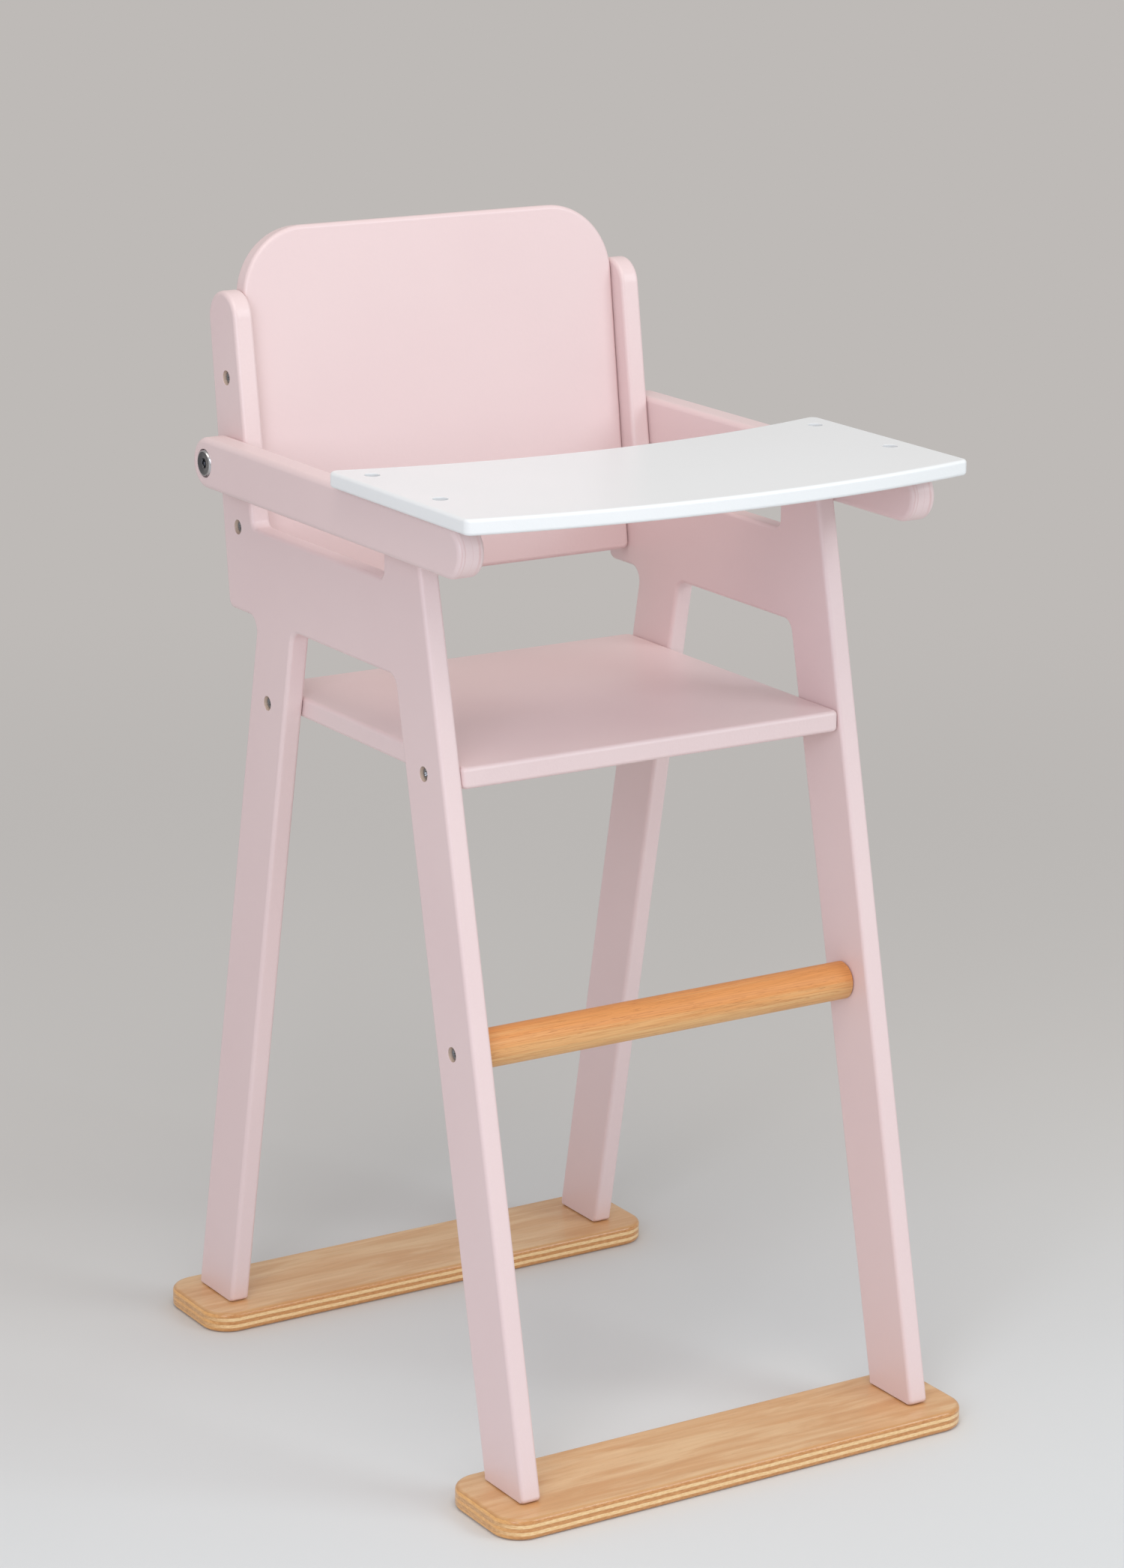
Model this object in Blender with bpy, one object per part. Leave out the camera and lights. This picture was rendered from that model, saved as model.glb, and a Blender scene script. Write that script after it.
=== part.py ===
"""Doll high chair, modelled piece by piece at its real size.

Two splayed side panels carry a seat, a leaning backrest and a round footrest bar, and stand
on two plywood foot boards. A tray on two arms swings up and over the back on two pivot bolts.

Metres, +Z up. The chair faces -Y, left is -X, and the origin is on the floor under the
middle of the foot boards.
"""

import math

import bmesh
import bpy
from mathutils import Matrix, Vector

# Overall sizes
BASE_LENGTH = 0.300          # from the front of one foot board to the back of the other
BOARD_LENGTH = 0.228         # of each foot board, from side to side
OVERALL_HEIGHT = 0.487       # floor to the backrest's top edge, before its edges are rounded

# Clearances
FIT_GAP = 0.0003             # between faces that touch, and round a pin in its bore
CUT_OVERRUN = 0.001          # how far a cutter starts outside the face that it cuts

# Side panels
PANEL_THICK = 0.009
PANEL_EDGE_RADIUS = 0.0019
LEG_WIDTH = 0.0305           # along the floor
FOOT_SETBACK = 0.012         # from a foot board's front edge to its leg
FOOT_INSET = 0.014           # from a foot board's end to the panel's outer face
FOOT_CORNER_RADIUS = 0.0028
PANEL_DEPTH = 0.038          # from the bottom of the recess to the edge between the legs
ARCH_RADIUS = 0.006          # where the legs run into that edge
REAR_STEP = 0.025            # how far the panel juts out behind its rear leg
STEP_CORNER_RADIUS = 0.004
STEP_HOLLOW_RADIUS = 0.006
RECESS_GAP = 0.0147          # from the arm's underside to the bottom of the recess
RECESS_RADIUS = 0.0035
POST_WIDTH = 0.023           # of the front post, where the tray rests on it
POST_CORNER_RADIUS = 0.0028
UPRIGHT_WIDTH = 0.0265       # at the bottom of the recess
UPRIGHT_DROP = 0.025         # from the backrest's top edge down to the upright's
FRONT_LEG_RAKE = math.radians(12.55)
REAR_LEG_RAKE = math.radians(11.05)
BACK_LEAN = math.radians(8.0)
UPRIGHT_TAPER = math.radians(0.9)    # each side of the upright against its centre line

# Seat
SEAT_THICK = 0.009
BACK_HEIGHT = 0.1895         # from the seat's top face to the backrest's top edge
SEAT_CORNER_RADIUS = 0.003
SEAT_EDGE_RADIUS = 0.0019

# Backrest
BACKREST_THICK = 0.009
BACKREST_HEIGHT = 0.152      # from the middle of its lower edge to its top edge
BACKREST_TOP_RADIUS = 0.030
BACKREST_BOTTOM_RADIUS = 0.003
BACKREST_EDGE_RADIUS = 0.0019

# Footrest
FOOTREST_DIAMETER = 0.016
FOOTREST_DROP = 0.115        # from the seat's top face to its centre line
FOOTREST_INSET = 0.0175      # from the leg's front edge to its centre line
FOOTREST_CHAMFER = 0.0006

# Foot boards
BOARD_DEPTH = 0.051          # from front to back
BOARD_THICK = 0.009
BOARD_CORNER_RADIUS = 0.013
BOARD_EDGE_RADIUS = 0.0019

# Tray
TRAY_SIDE_OVERHANG = 0.0052  # beyond the arms' outer faces
TRAY_SIDE_LENGTH = 0.109     # of its straight sides
TRAY_FRONT_BOW = 0.0135      # how far the front edge bulges in the middle
TRAY_REAR_BOW = 0.0175       # how far the rear edge is hollowed in the middle
TRAY_THICK = 0.0065
TRAY_DROP = 0.078            # from the backrest's top edge down to its top face
TRAY_OVERHANG = 0.014        # from the arms' front ends to the tray's front corners
TRAY_CORNER_RADIUS = 0.0035
TRAY_EDGE_RADIUS = 0.0014

# Arms
ARM_THICK = 0.012
ARM_DEPTH = 0.0215           # from top to underside, both ends fully round
ARM_REACH = 0.2095           # from the pivot to the front end
ARM_EDGE_RADIUS = 0.0025

# Pivots
PIVOT_SETBACK = 0.002        # behind the uprights' centre line
BOLT_DIAMETER = 0.006
BOLT_HEAD_DIAMETER = 0.0115
BOLT_HEAD_THICK = 0.0018
BOLT_HEAD_RADIUS = 0.0009    # round its rim
BOLT_HEAD_SINK = 0.0016      # depth of its recess in the arm
BOLT_CHAMFER = 0.0008
SOCKET_WIDTH = 0.004         # across the flats
SOCKET_DEPTH = 0.0013
SOCKET_RING_DIAMETER = 0.0054
SOCKET_RING_DEPTH = 0.0003
INSERT_DIAMETER = 0.009
INSERT_COVER = 0.0015        # wood left behind the threaded insert

# Screws
SCREW_DIAMETER = 0.003
SCREW_LENGTH = 0.018         # under the head
SCREW_TIP = 0.004
SCREW_HEAD_DIAMETER = 0.0052
SCREW_HEAD_THICK = 0.0016
SCREW_HEAD_CHAMFER = 0.0004
SCREW_CROSS_WIDTH = 0.0008   # of each arm of the cross recess
SCREW_CROSS_LENGTH = 0.003   # from end to end of the cross recess
SCREW_CROSS_DEPTH = 0.0010
COUNTERBORE_DIAMETER = 0.0062
COUNTERBORE_DEPTH = 0.0032
BACKREST_SCREW_RISES = {"lower": -0.02745, "upper": 0.03455}    # above the pivots
TRAY_SCREW_INSET = 0.0245    # from an arm's front end to its first screw
TRAY_SCREW_SPACING = 0.053
FOOT_SCREW_SPACING = 0.014

# Facets
ARC_STEP = math.radians(18.0)
SHARP_ANGLE = math.radians(50.0)
BOW_FACETS = 20
EDGE_FACETS = 2
ROUND_FACETS = 28
BORE_FACETS = 12
SCREW_FACETS = 10

# Which way each side lies from the middle
SIDES = {"left": -1, "right": 1}

# Heights and places that follow from the sizes
HALF_WIDTH = BOARD_LENGTH / 2 - FOOT_INSET    # to the side panels' outer faces
INNER_HALF_WIDTH = HALF_WIDTH - PANEL_THICK
FOOT_HEIGHT = BOARD_THICK + FIT_GAP
FRONT_FOOT_Y = -BASE_LENGTH / 2 + FOOT_SETBACK
REAR_FOOT_Y = BASE_LENGTH / 2 - BOARD_DEPTH + FOOT_SETBACK
TRAY_HEIGHT = OVERALL_HEIGHT - TRAY_DROP
TRAY_UNDERSIDE = TRAY_HEIGHT - TRAY_THICK
ARM_TOP = TRAY_UNDERSIDE - FIT_GAP
PIVOT_Z = ARM_TOP - ARM_DEPTH / 2
RECESS_HEIGHT = ARM_TOP - ARM_DEPTH - RECESS_GAP
UNDERSIDE_HEIGHT = RECESS_HEIGHT - PANEL_DEPTH
UPRIGHT_HEIGHT = OVERALL_HEIGHT - UPRIGHT_DROP
SEAT_HEIGHT = OVERALL_HEIGHT - BACK_HEIGHT
SEAT_MIDDLE = SEAT_HEIGHT - SEAT_THICK / 2
FOOTREST_HEIGHT = SEAT_HEIGHT - FOOTREST_DROP
ARM_INNER_X = HALF_WIDTH + FIT_GAP
ARM_OUTER_X = ARM_INNER_X + ARM_THICK
INSERT_LENGTH = PANEL_THICK - INSERT_COVER
BOLT_LENGTH = ARM_THICK - BOLT_HEAD_SINK + 2 * FIT_GAP + INSERT_LENGTH    # under the head


def front_leg_front(height):
    """Y of the front leg's front edge at a height."""
    return FRONT_FOOT_Y + math.tan(FRONT_LEG_RAKE) * (height - FOOT_HEIGHT)


def front_leg_back(height):
    """Y of the front leg's back edge at a height."""
    return front_leg_front(height) + LEG_WIDTH


def rear_leg_front(height):
    """Y of the rear leg's front edge at a height."""
    return REAR_FOOT_Y - math.tan(REAR_LEG_RAKE) * (height - FOOT_HEIGHT)


def rear_leg_back(height):
    """Y of the rear leg's back edge at a height."""
    return rear_leg_front(height) + LEG_WIDTH


def upright_back(height):
    """Y of the upright's back edge, which runs down to the step behind the rear leg."""
    step_y = rear_leg_back(UNDERSIDE_HEIGHT) + REAR_STEP
    return step_y + math.tan(BACK_LEAN - UPRIGHT_TAPER) * (height - UNDERSIDE_HEIGHT)


def upright_front(height):
    """Y of the upright's front edge, from the bottom of the recess up."""
    foot_y = upright_back(RECESS_HEIGHT) - UPRIGHT_WIDTH
    return foot_y + math.tan(BACK_LEAN + UPRIGHT_TAPER) * (height - RECESS_HEIGHT)


def upright_middle(height):
    """Y of the upright's centre line, which the backrest follows."""
    foot_y = upright_back(RECESS_HEIGHT) - UPRIGHT_WIDTH / 2
    return foot_y + math.tan(BACK_LEAN) * (height - RECESS_HEIGHT)


PIVOT_Y = upright_middle(PIVOT_Z) + PIVOT_SETBACK
ARM_FRONT_Y = PIVOT_Y - ARM_REACH
TRAY_FRONT_Y = ARM_FRONT_Y - TRAY_OVERHANG
TRAY_SCREW_Y = ARM_FRONT_Y + TRAY_SCREW_INSET
FOOTREST_Y = front_leg_front(FOOTREST_HEIGHT) + FOOTREST_INSET


def clear_scene():
    """Remove every object, so that the model starts in an empty scene."""
    for item in list(bpy.data.objects):
        bpy.data.objects.remove(item, do_unlink=True)


# Materials

def finish(name, colour, roughness, metallic=0.0):
    """Return a Principled material."""
    material = bpy.data.materials.new(name)
    material.use_nodes = True
    shader = material.node_tree.nodes["Principled BSDF"]
    shader.inputs["Base Color"].default_value = (*colour, 1.0)
    shader.inputs["Roughness"].default_value = roughness
    shader.inputs["Metallic"].default_value = metallic
    return material


def pink_paint(piece):
    """Return the satin pink paint of one piece."""
    return finish("pink_paint_" + piece, (0.76, 0.56, 0.57), 0.45)


def white_paint(piece):
    """Return the satin white paint of one piece."""
    return finish("white_paint_" + piece, (0.88, 0.88, 0.86), 0.35)


def bare_wood(piece):
    """Return the varnished wood of one piece."""
    return finish("varnished_wood_" + piece, (0.70, 0.46, 0.25), 0.42)


def steel(piece):
    """Return the plated steel of one piece."""
    return finish("plated_steel_" + piece, (0.60, 0.61, 0.63), 0.25, 1.0)


# Outlines

def rounded_outline(corners):
    """Return a closed outline from (point, radius) corners, with an arc at each radius."""
    points = []
    for index, (corner, radius) in enumerate(corners):
        if radius == 0:
            points.append(corner)
            continue
        before = (corners[index - 1][0] - corner).normalized()
        after = (corners[(index + 1) % len(corners)][0] - corner).normalized()
        half_angle = before.angle(after) / 2
        centre = corner + (before + after).normalized() * radius / math.sin(half_angle)
        start = corner + before * radius / math.tan(half_angle) - centre
        end = corner + after * radius / math.tan(half_angle) - centre
        sweep = -start.angle_signed(end)
        steps = max(2, math.ceil(abs(sweep) / ARC_STEP))
        for step in range(steps + 1):
            turn = Matrix.Rotation(sweep * step / steps, 2)
            points.append(centre + turn @ start)
    return without_repeats(points)


def without_repeats(points):
    """Return an outline without points that fall on the one before, as where two arcs meet."""
    kept = []
    for index, point in enumerate(points):
        if (point - points[index - 1]).length > FIT_GAP / 10:
            kept.append(point)
    return kept


def upright_top_radius():
    """Radius of the round top that touches both edges of the upright and its full height."""
    back = BACK_LEAN - UPRIGHT_TAPER
    front = BACK_LEAN + UPRIGHT_TAPER
    narrowing = math.tan(front) - math.tan(back)
    width = UPRIGHT_WIDTH - narrowing * (UPRIGHT_HEIGHT - RECESS_HEIGHT)
    return width / (1 / math.cos(back) + 1 / math.cos(front) - narrowing)


def side_panel_outline():
    """Return the side panel's outline as (Y, Z) points."""
    post_back = front_leg_front(ARM_TOP) + POST_WIDTH
    top_radius = upright_top_radius()
    corners = (
        (Vector((front_leg_front(FOOT_HEIGHT), FOOT_HEIGHT)), FOOT_CORNER_RADIUS),
        (Vector((front_leg_back(FOOT_HEIGHT), FOOT_HEIGHT)), FOOT_CORNER_RADIUS),
        (Vector((front_leg_back(UNDERSIDE_HEIGHT), UNDERSIDE_HEIGHT)), ARCH_RADIUS),
        (Vector((rear_leg_front(UNDERSIDE_HEIGHT), UNDERSIDE_HEIGHT)), ARCH_RADIUS),
        (Vector((rear_leg_front(FOOT_HEIGHT), FOOT_HEIGHT)), FOOT_CORNER_RADIUS),
        (Vector((rear_leg_back(FOOT_HEIGHT), FOOT_HEIGHT)), FOOT_CORNER_RADIUS),
        (Vector((rear_leg_back(UNDERSIDE_HEIGHT), UNDERSIDE_HEIGHT)), STEP_HOLLOW_RADIUS),
        (Vector((upright_back(UNDERSIDE_HEIGHT), UNDERSIDE_HEIGHT)), STEP_CORNER_RADIUS),
        (Vector((upright_back(UPRIGHT_HEIGHT), UPRIGHT_HEIGHT)), top_radius),
        (Vector((upright_front(UPRIGHT_HEIGHT), UPRIGHT_HEIGHT)), top_radius),
        (Vector((upright_front(RECESS_HEIGHT), RECESS_HEIGHT)), RECESS_RADIUS),
        (Vector((post_back, RECESS_HEIGHT)), RECESS_RADIUS),
        (Vector((post_back, ARM_TOP)), POST_CORNER_RADIUS),
        (Vector((front_leg_front(ARM_TOP), ARM_TOP)), POST_CORNER_RADIUS),
    )
    return rounded_outline(corners)


def rectangle_outline(width, length, radii):
    """Return a rectangle about the origin, with radii from the lower left corner round."""
    half_width = width / 2
    half_length = length / 2
    corners = (
        (Vector((-half_width, -half_length)), radii[0]),
        (Vector((half_width, -half_length)), radii[1]),
        (Vector((half_width, half_length)), radii[2]),
        (Vector((-half_width, half_length)), radii[3]),
    )
    return rounded_outline(corners)


def bowed_edge(half_width, bow, level):
    """Return the points between the ends of an arc that sinks by bow in its middle."""
    radius = (half_width ** 2 + bow ** 2) / (2 * bow)
    reach = math.asin(half_width / radius)
    points = []
    for facet in range(1, BOW_FACETS):
        angle = reach * (2 * facet / BOW_FACETS - 1)
        points.append(Vector((radius * math.sin(angle), level - radius * math.cos(angle)
                              + radius - bow)))
    return points


def tray_outline():
    """Return the tray's outline as (X, Y) points, seen from above."""
    half_width = ARM_OUTER_X + TRAY_SIDE_OVERHANG
    rear_y = TRAY_FRONT_Y + TRAY_SIDE_LENGTH
    corners = [(Vector((-half_width, TRAY_FRONT_Y)), TRAY_CORNER_RADIUS)]
    corners += [(point, 0) for point in bowed_edge(half_width, TRAY_FRONT_BOW, TRAY_FRONT_Y)]
    corners += [(Vector((half_width, TRAY_FRONT_Y)), TRAY_CORNER_RADIUS)]
    corners += [(Vector((half_width, rear_y)), TRAY_CORNER_RADIUS)]
    corners += [(point, 0) for point in reversed(bowed_edge(half_width, TRAY_REAR_BOW, rear_y))]
    corners += [(Vector((-half_width, rear_y)), TRAY_CORNER_RADIUS)]
    return rounded_outline(corners)


# Solids

def add_object(name, mesh, material=None):
    """Link a mesh into the scene as a named object, in its material if it has none yet."""
    item = bpy.data.objects.new(name, mesh)
    if material:
        mesh.materials.append(material)
    bpy.context.scene.collection.objects.link(item)
    return item


def mesh_from(bm, name):
    """Turn a bmesh into a smooth-shaded mesh with its faces pointing out."""
    bmesh.ops.recalc_face_normals(bm, faces=bm.faces)
    mesh = bpy.data.meshes.new(name)
    bm.to_mesh(mesh)
    bm.free()
    mesh.shade_smooth()
    mesh.set_sharp_from_angle(angle=SHARP_ANGLE)
    return mesh


def plate(name, outline, thick, edge_radius, material):
    """Make a board: an outline in its own XY plane, centred in Z, with rounded long edges."""
    bm = bmesh.new()
    extrude_outline(bm, outline, -thick / 2, thick)
    long_edges = [edge for edge in bm.edges
                  if edge.verts[0].co.z == edge.verts[1].co.z]
    bmesh.ops.bevel(bm, geom=long_edges, offset=edge_radius, segments=EDGE_FACETS,
                    profile=0.5, affect="EDGES", clamp_overlap=True)
    return add_object(name, mesh_from(bm, name), material)


def extrude_outline(bm, outline, bottom, height):
    """Add a prism to a bmesh, from an outline drawn at the bottom level."""
    base = bm.faces.new([bm.verts.new((x, y, bottom)) for x, y in outline])
    raised = bmesh.ops.extrude_face_region(bm, geom=[base])["geom"]
    lifted = [part for part in raised if isinstance(part, bmesh.types.BMVert)]
    bmesh.ops.translate(bm, verts=lifted, vec=(0, 0, height))


def turned_mesh(name, profile, facets):
    """Spin a profile of (radius, height) points about Z into a closed mesh.

    The profile's first and last points lie on the axis, or it closes on itself to leave a bore.
    """
    bm = bmesh.new()
    verts = [bm.verts.new((radius, 0, height)) for radius, height in profile]
    edges = [bm.edges.new(pair) for pair in zip(verts, verts[1:])]
    if profile[0][0] > 0:
        edges.append(bm.edges.new((verts[-1], verts[0])))
    bmesh.ops.spin(bm, geom=verts + edges, cent=(0, 0, 0), axis=(0, 0, 1),
                   angle=2 * math.pi, steps=facets)
    bmesh.ops.remove_doubles(bm, verts=bm.verts, dist=FIT_GAP / 10)
    return mesh_from(bm, name)


def add_cutter(name, mesh, place):
    """Link a mesh as a cutter that is drawn in outline and never rendered."""
    cutter = add_object(name, mesh)
    cutter.matrix_world = place
    cutter.display_type = "WIRE"
    cutter.hide_render = True
    return cutter


def cut(target, cutter):
    """Take the cutter's volume out of the target."""
    modifier = target.modifiers.new("cut_" + cutter.name, "BOOLEAN")
    modifier.operation = "DIFFERENCE"
    modifier.object = cutter


def cut_mesh(name, mesh, tool, material):
    """Return a mesh with the tool's volume taken out, to be shared by copies of a piece."""
    item = add_object(name, mesh, material)
    cutter = add_cutter(name + "_tool", tool, Matrix.Identity(4))
    cut(item, cutter)
    graph = bpy.context.evaluated_depsgraph_get()
    result = bpy.data.meshes.new_from_object(item.evaluated_get(graph))
    bpy.data.objects.remove(item, do_unlink=True)
    bpy.data.objects.remove(cutter, do_unlink=True)
    return result


# Fasteners and their bores

def screw_mesh():
    """Return a cross-head screw whose seat is at Z = 0, with its head above."""
    shank = SCREW_DIAMETER / 2
    head = SCREW_HEAD_DIAMETER / 2
    profile = (
        (0, -SCREW_LENGTH),
        (shank, SCREW_TIP - SCREW_LENGTH),
        (shank, 0),
        (head, 0),
        (head, SCREW_HEAD_THICK - SCREW_HEAD_CHAMFER),
        (head - SCREW_HEAD_CHAMFER, SCREW_HEAD_THICK),
        (0, SCREW_HEAD_THICK),
    )
    blank = turned_mesh("screw", profile, SCREW_FACETS)
    return cut_mesh("screw", blank, cross_mesh(), steel("screw"))


def cross_mesh():
    """Return the tool that sinks the cross recess into a screw's head."""
    arm = SCREW_CROSS_WIDTH / 2
    reach = SCREW_CROSS_LENGTH / 2
    outline = ((reach, -arm), (reach, arm), (arm, arm), (arm, reach), (-arm, reach),
               (-arm, arm), (-reach, arm), (-reach, -arm), (-arm, -arm), (-arm, -reach),
               (arm, -reach), (arm, -arm))
    bm = bmesh.new()
    extrude_outline(bm, outline, SCREW_HEAD_THICK - SCREW_CROSS_DEPTH,
                    SCREW_CROSS_DEPTH + CUT_OVERRUN)
    return mesh_from(bm, "cross")


def screw_bore_mesh():
    """Return the tool for one screw's counterbore and bore, with its mouth at Z = 0."""
    wide = COUNTERBORE_DIAMETER / 2
    narrow = SCREW_DIAMETER / 2 + FIT_GAP
    end = -COUNTERBORE_DEPTH - SCREW_LENGTH - FIT_GAP
    profile = (
        (0, end),
        (narrow, end),
        (narrow, -COUNTERBORE_DEPTH),
        (wide, -COUNTERBORE_DEPTH),
        (wide, CUT_OVERRUN),
        (0, CUT_OVERRUN),
    )
    return turned_mesh("screw_bore", profile, BORE_FACETS)


def side_place(side, y, z):
    """Return the frame of a hole in a side panel's outer face, its axis pointing out."""
    turn = Matrix.Rotation(side * math.pi / 2, 4, "Y")
    return Matrix.Translation((side * HALF_WIDTH, y, z)) @ turn


def add_screw(name, screw, bore, place, carriers):
    """Add one screw in its counterbore, cut its bore in its carriers, and return both."""
    seat_depth = FIT_GAP - COUNTERBORE_DEPTH
    item = add_object(name, screw)
    item.matrix_world = place @ Matrix.Translation((0, 0, seat_depth))
    cutter = add_cutter(name + "_bore", bore, place)
    for carrier in carriers:
        cut(carrier, cutter)
    return [item, cutter]


def add_side_screws(screw, bore, pieces):
    """Add the screws that go through the side panels into the seat, backrest and footrest."""
    seat_ys = {"front": front_leg_front(SEAT_MIDDLE) + LEG_WIDTH / 2,
               "rear": rear_leg_back(SEAT_MIDDLE) - LEG_WIDTH / 2}
    for hand, side in SIDES.items():
        panel = pieces["side_panel_" + hand]
        for level, rise in BACKREST_SCREW_RISES.items():
            z = PIVOT_Z + rise
            place = side_place(side, upright_middle(z), z)
            name = "backrest_screw_" + hand + "_" + level
            add_screw(name, screw, bore, place, [panel, pieces["backrest"]])
        for end, y in seat_ys.items():
            place = side_place(side, y, SEAT_MIDDLE)
            name = "seat_screw_" + hand + "_" + end
            add_screw(name, screw, bore, place, [panel, pieces["seat"]])
        place = side_place(side, FOOTREST_Y, FOOTREST_HEIGHT)
        name = "footrest_screw_" + hand
        add_screw(name, screw, bore, place, [panel, pieces["footrest_bar"]])


def add_foot_screws(screw, bore, pieces):
    """Add the screws that go up through the foot boards into the legs."""
    upside_down = Matrix.Rotation(math.pi, 4, "X")
    for end, foot_y in (("front", FRONT_FOOT_Y), ("rear", REAR_FOOT_Y)):
        board = pieces["foot_board_" + end]
        for hand, side in SIDES.items():
            panel = pieces["side_panel_" + hand]
            x = side * (HALF_WIDTH - PANEL_THICK / 2)
            for row, way in (("fore", -1), ("aft", 1)):
                y = foot_y + LEG_WIDTH / 2 + way * FOOT_SCREW_SPACING / 2
                place = Matrix.Translation((x, y, 0)) @ upside_down
                name = "foot_screw_" + end + "_" + hand + "_" + row
                add_screw(name, screw, bore, place, [board, panel])


def add_tray_screws(screw, bore, pieces):
    """Add the screws that go down through the tray into the arms, and return what swings."""
    swinging = []
    for hand, side in SIDES.items():
        arm_bar = pieces["arm_" + hand]
        x = side * (ARM_INNER_X + ARM_THICK / 2)
        for row, y in (("front", TRAY_SCREW_Y), ("rear", TRAY_SCREW_Y + TRAY_SCREW_SPACING)):
            place = Matrix.Translation((x, y, TRAY_HEIGHT))
            name = "tray_screw_" + hand + "_" + row
            swinging += add_screw(name, screw, bore, place, [pieces["tray"], arm_bar])
    return swinging


# Wooden pieces

def side_panel(name, side):
    """Make one side panel: both legs, the panel between them, the front post and the upright."""
    panel = plate(name, side_panel_outline(), PANEL_THICK, PANEL_EDGE_RADIUS, pink_paint(name))
    panel.rotation_euler = (math.pi / 2, 0, math.pi / 2)
    panel.location = (side * (HALF_WIDTH - PANEL_THICK / 2), 0, 0)
    return panel


def seat():
    """Make the seat board, flush with the legs' outer edges at its middle."""
    width = 2 * (INNER_HALF_WIDTH - FIT_GAP)
    front_y = front_leg_front(SEAT_MIDDLE)
    back_y = rear_leg_back(SEAT_MIDDLE)
    outline = rectangle_outline(width, back_y - front_y, [SEAT_CORNER_RADIUS] * 4)
    board = plate("seat", outline, SEAT_THICK, SEAT_EDGE_RADIUS, pink_paint("seat"))
    board.location = (0, (front_y + back_y) / 2, SEAT_MIDDLE)
    return board


def backrest():
    """Make the backrest, which leans with the uprights and has wide round top corners."""
    width = 2 * (INNER_HALF_WIDTH - FIT_GAP)
    rise = BACKREST_HEIGHT - BACKREST_THICK / 2 * math.sin(BACK_LEAN)
    length = rise / math.cos(BACK_LEAN)
    radii = (BACKREST_BOTTOM_RADIUS, BACKREST_BOTTOM_RADIUS,
             BACKREST_TOP_RADIUS, BACKREST_TOP_RADIUS)
    outline = rectangle_outline(width, length, radii)
    board = plate("backrest", outline, BACKREST_THICK, BACKREST_EDGE_RADIUS,
                  pink_paint("backrest"))
    middle_height = OVERALL_HEIGHT - BACKREST_HEIGHT + rise / 2
    board.rotation_euler = (math.pi / 2 - BACK_LEAN, 0, 0)
    board.location = (0, upright_middle(middle_height), middle_height)
    return board


def footrest_bar():
    """Make the round bar between the front legs."""
    radius = FOOTREST_DIAMETER / 2
    half_length = INNER_HALF_WIDTH - FIT_GAP
    profile = (
        (0, -half_length),
        (radius - FOOTREST_CHAMFER, -half_length),
        (radius, FOOTREST_CHAMFER - half_length),
        (radius, half_length - FOOTREST_CHAMFER),
        (radius - FOOTREST_CHAMFER, half_length),
        (0, half_length),
    )
    mesh = turned_mesh("footrest_bar", profile, ROUND_FACETS)
    bar = add_object("footrest_bar", mesh, bare_wood("footrest_bar"))
    bar.rotation_euler = (0, math.pi / 2, 0)
    bar.location = (0, FOOTREST_Y, FOOTREST_HEIGHT)
    return bar


def foot_board(name, middle_y):
    """Make one plywood board under a pair of legs."""
    outline = rectangle_outline(BOARD_LENGTH, BOARD_DEPTH, [BOARD_CORNER_RADIUS] * 4)
    board = plate(name, outline, BOARD_THICK, BOARD_EDGE_RADIUS, bare_wood(name))
    board.location = (0, middle_y, BOARD_THICK / 2)
    return board


def tray():
    """Make the tray, with a bulging front edge and a hollowed rear edge."""
    board = plate("tray", tray_outline(), TRAY_THICK, TRAY_EDGE_RADIUS, white_paint("tray"))
    board.location = (0, 0, TRAY_HEIGHT - TRAY_THICK / 2)
    return board


def arm(name, side):
    """Make one arm: a bar with round ends, the rear one about the pivot."""
    radius = ARM_DEPTH / 2
    length = ARM_REACH + radius
    outline = rectangle_outline(length, ARM_DEPTH, [radius] * 4)
    bar = plate(name, outline, ARM_THICK, ARM_EDGE_RADIUS, pink_paint(name))
    bar.rotation_euler = (math.pi / 2, 0, math.pi / 2)
    middle_x = ARM_INNER_X + ARM_THICK / 2
    bar.location = (side * middle_x, ARM_FRONT_Y + length / 2, PIVOT_Z)
    return bar


# Pivots

def bolt_mesh():
    """Return a pivot bolt whose seat is at Z = 0, with its flat round head above."""
    shank = BOLT_DIAMETER / 2
    head = BOLT_HEAD_DIAMETER / 2
    profile = [
        (0, -BOLT_LENGTH),
        (shank - BOLT_CHAMFER, -BOLT_LENGTH),
        (shank, BOLT_CHAMFER - BOLT_LENGTH),
        (shank, 0),
        (head, 0),
    ]
    steps = math.ceil(math.pi / 2 / ARC_STEP / 2)
    for step in range(steps + 1):
        angle = math.pi / 2 * step / steps
        profile.append((head - BOLT_HEAD_RADIUS + BOLT_HEAD_RADIUS * math.cos(angle),
                        BOLT_HEAD_THICK - BOLT_HEAD_RADIUS + BOLT_HEAD_RADIUS * math.sin(angle)))
    profile.append((SOCKET_RING_DIAMETER / 2, BOLT_HEAD_THICK))
    profile.append((SOCKET_WIDTH / 2, BOLT_HEAD_THICK - SOCKET_RING_DEPTH))
    profile.append((0, BOLT_HEAD_THICK - SOCKET_RING_DEPTH))
    blank = turned_mesh("pivot_bolt", profile, ROUND_FACETS)
    return cut_mesh("pivot_bolt", blank, socket_mesh(), steel("pivot_bolt"))


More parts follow.
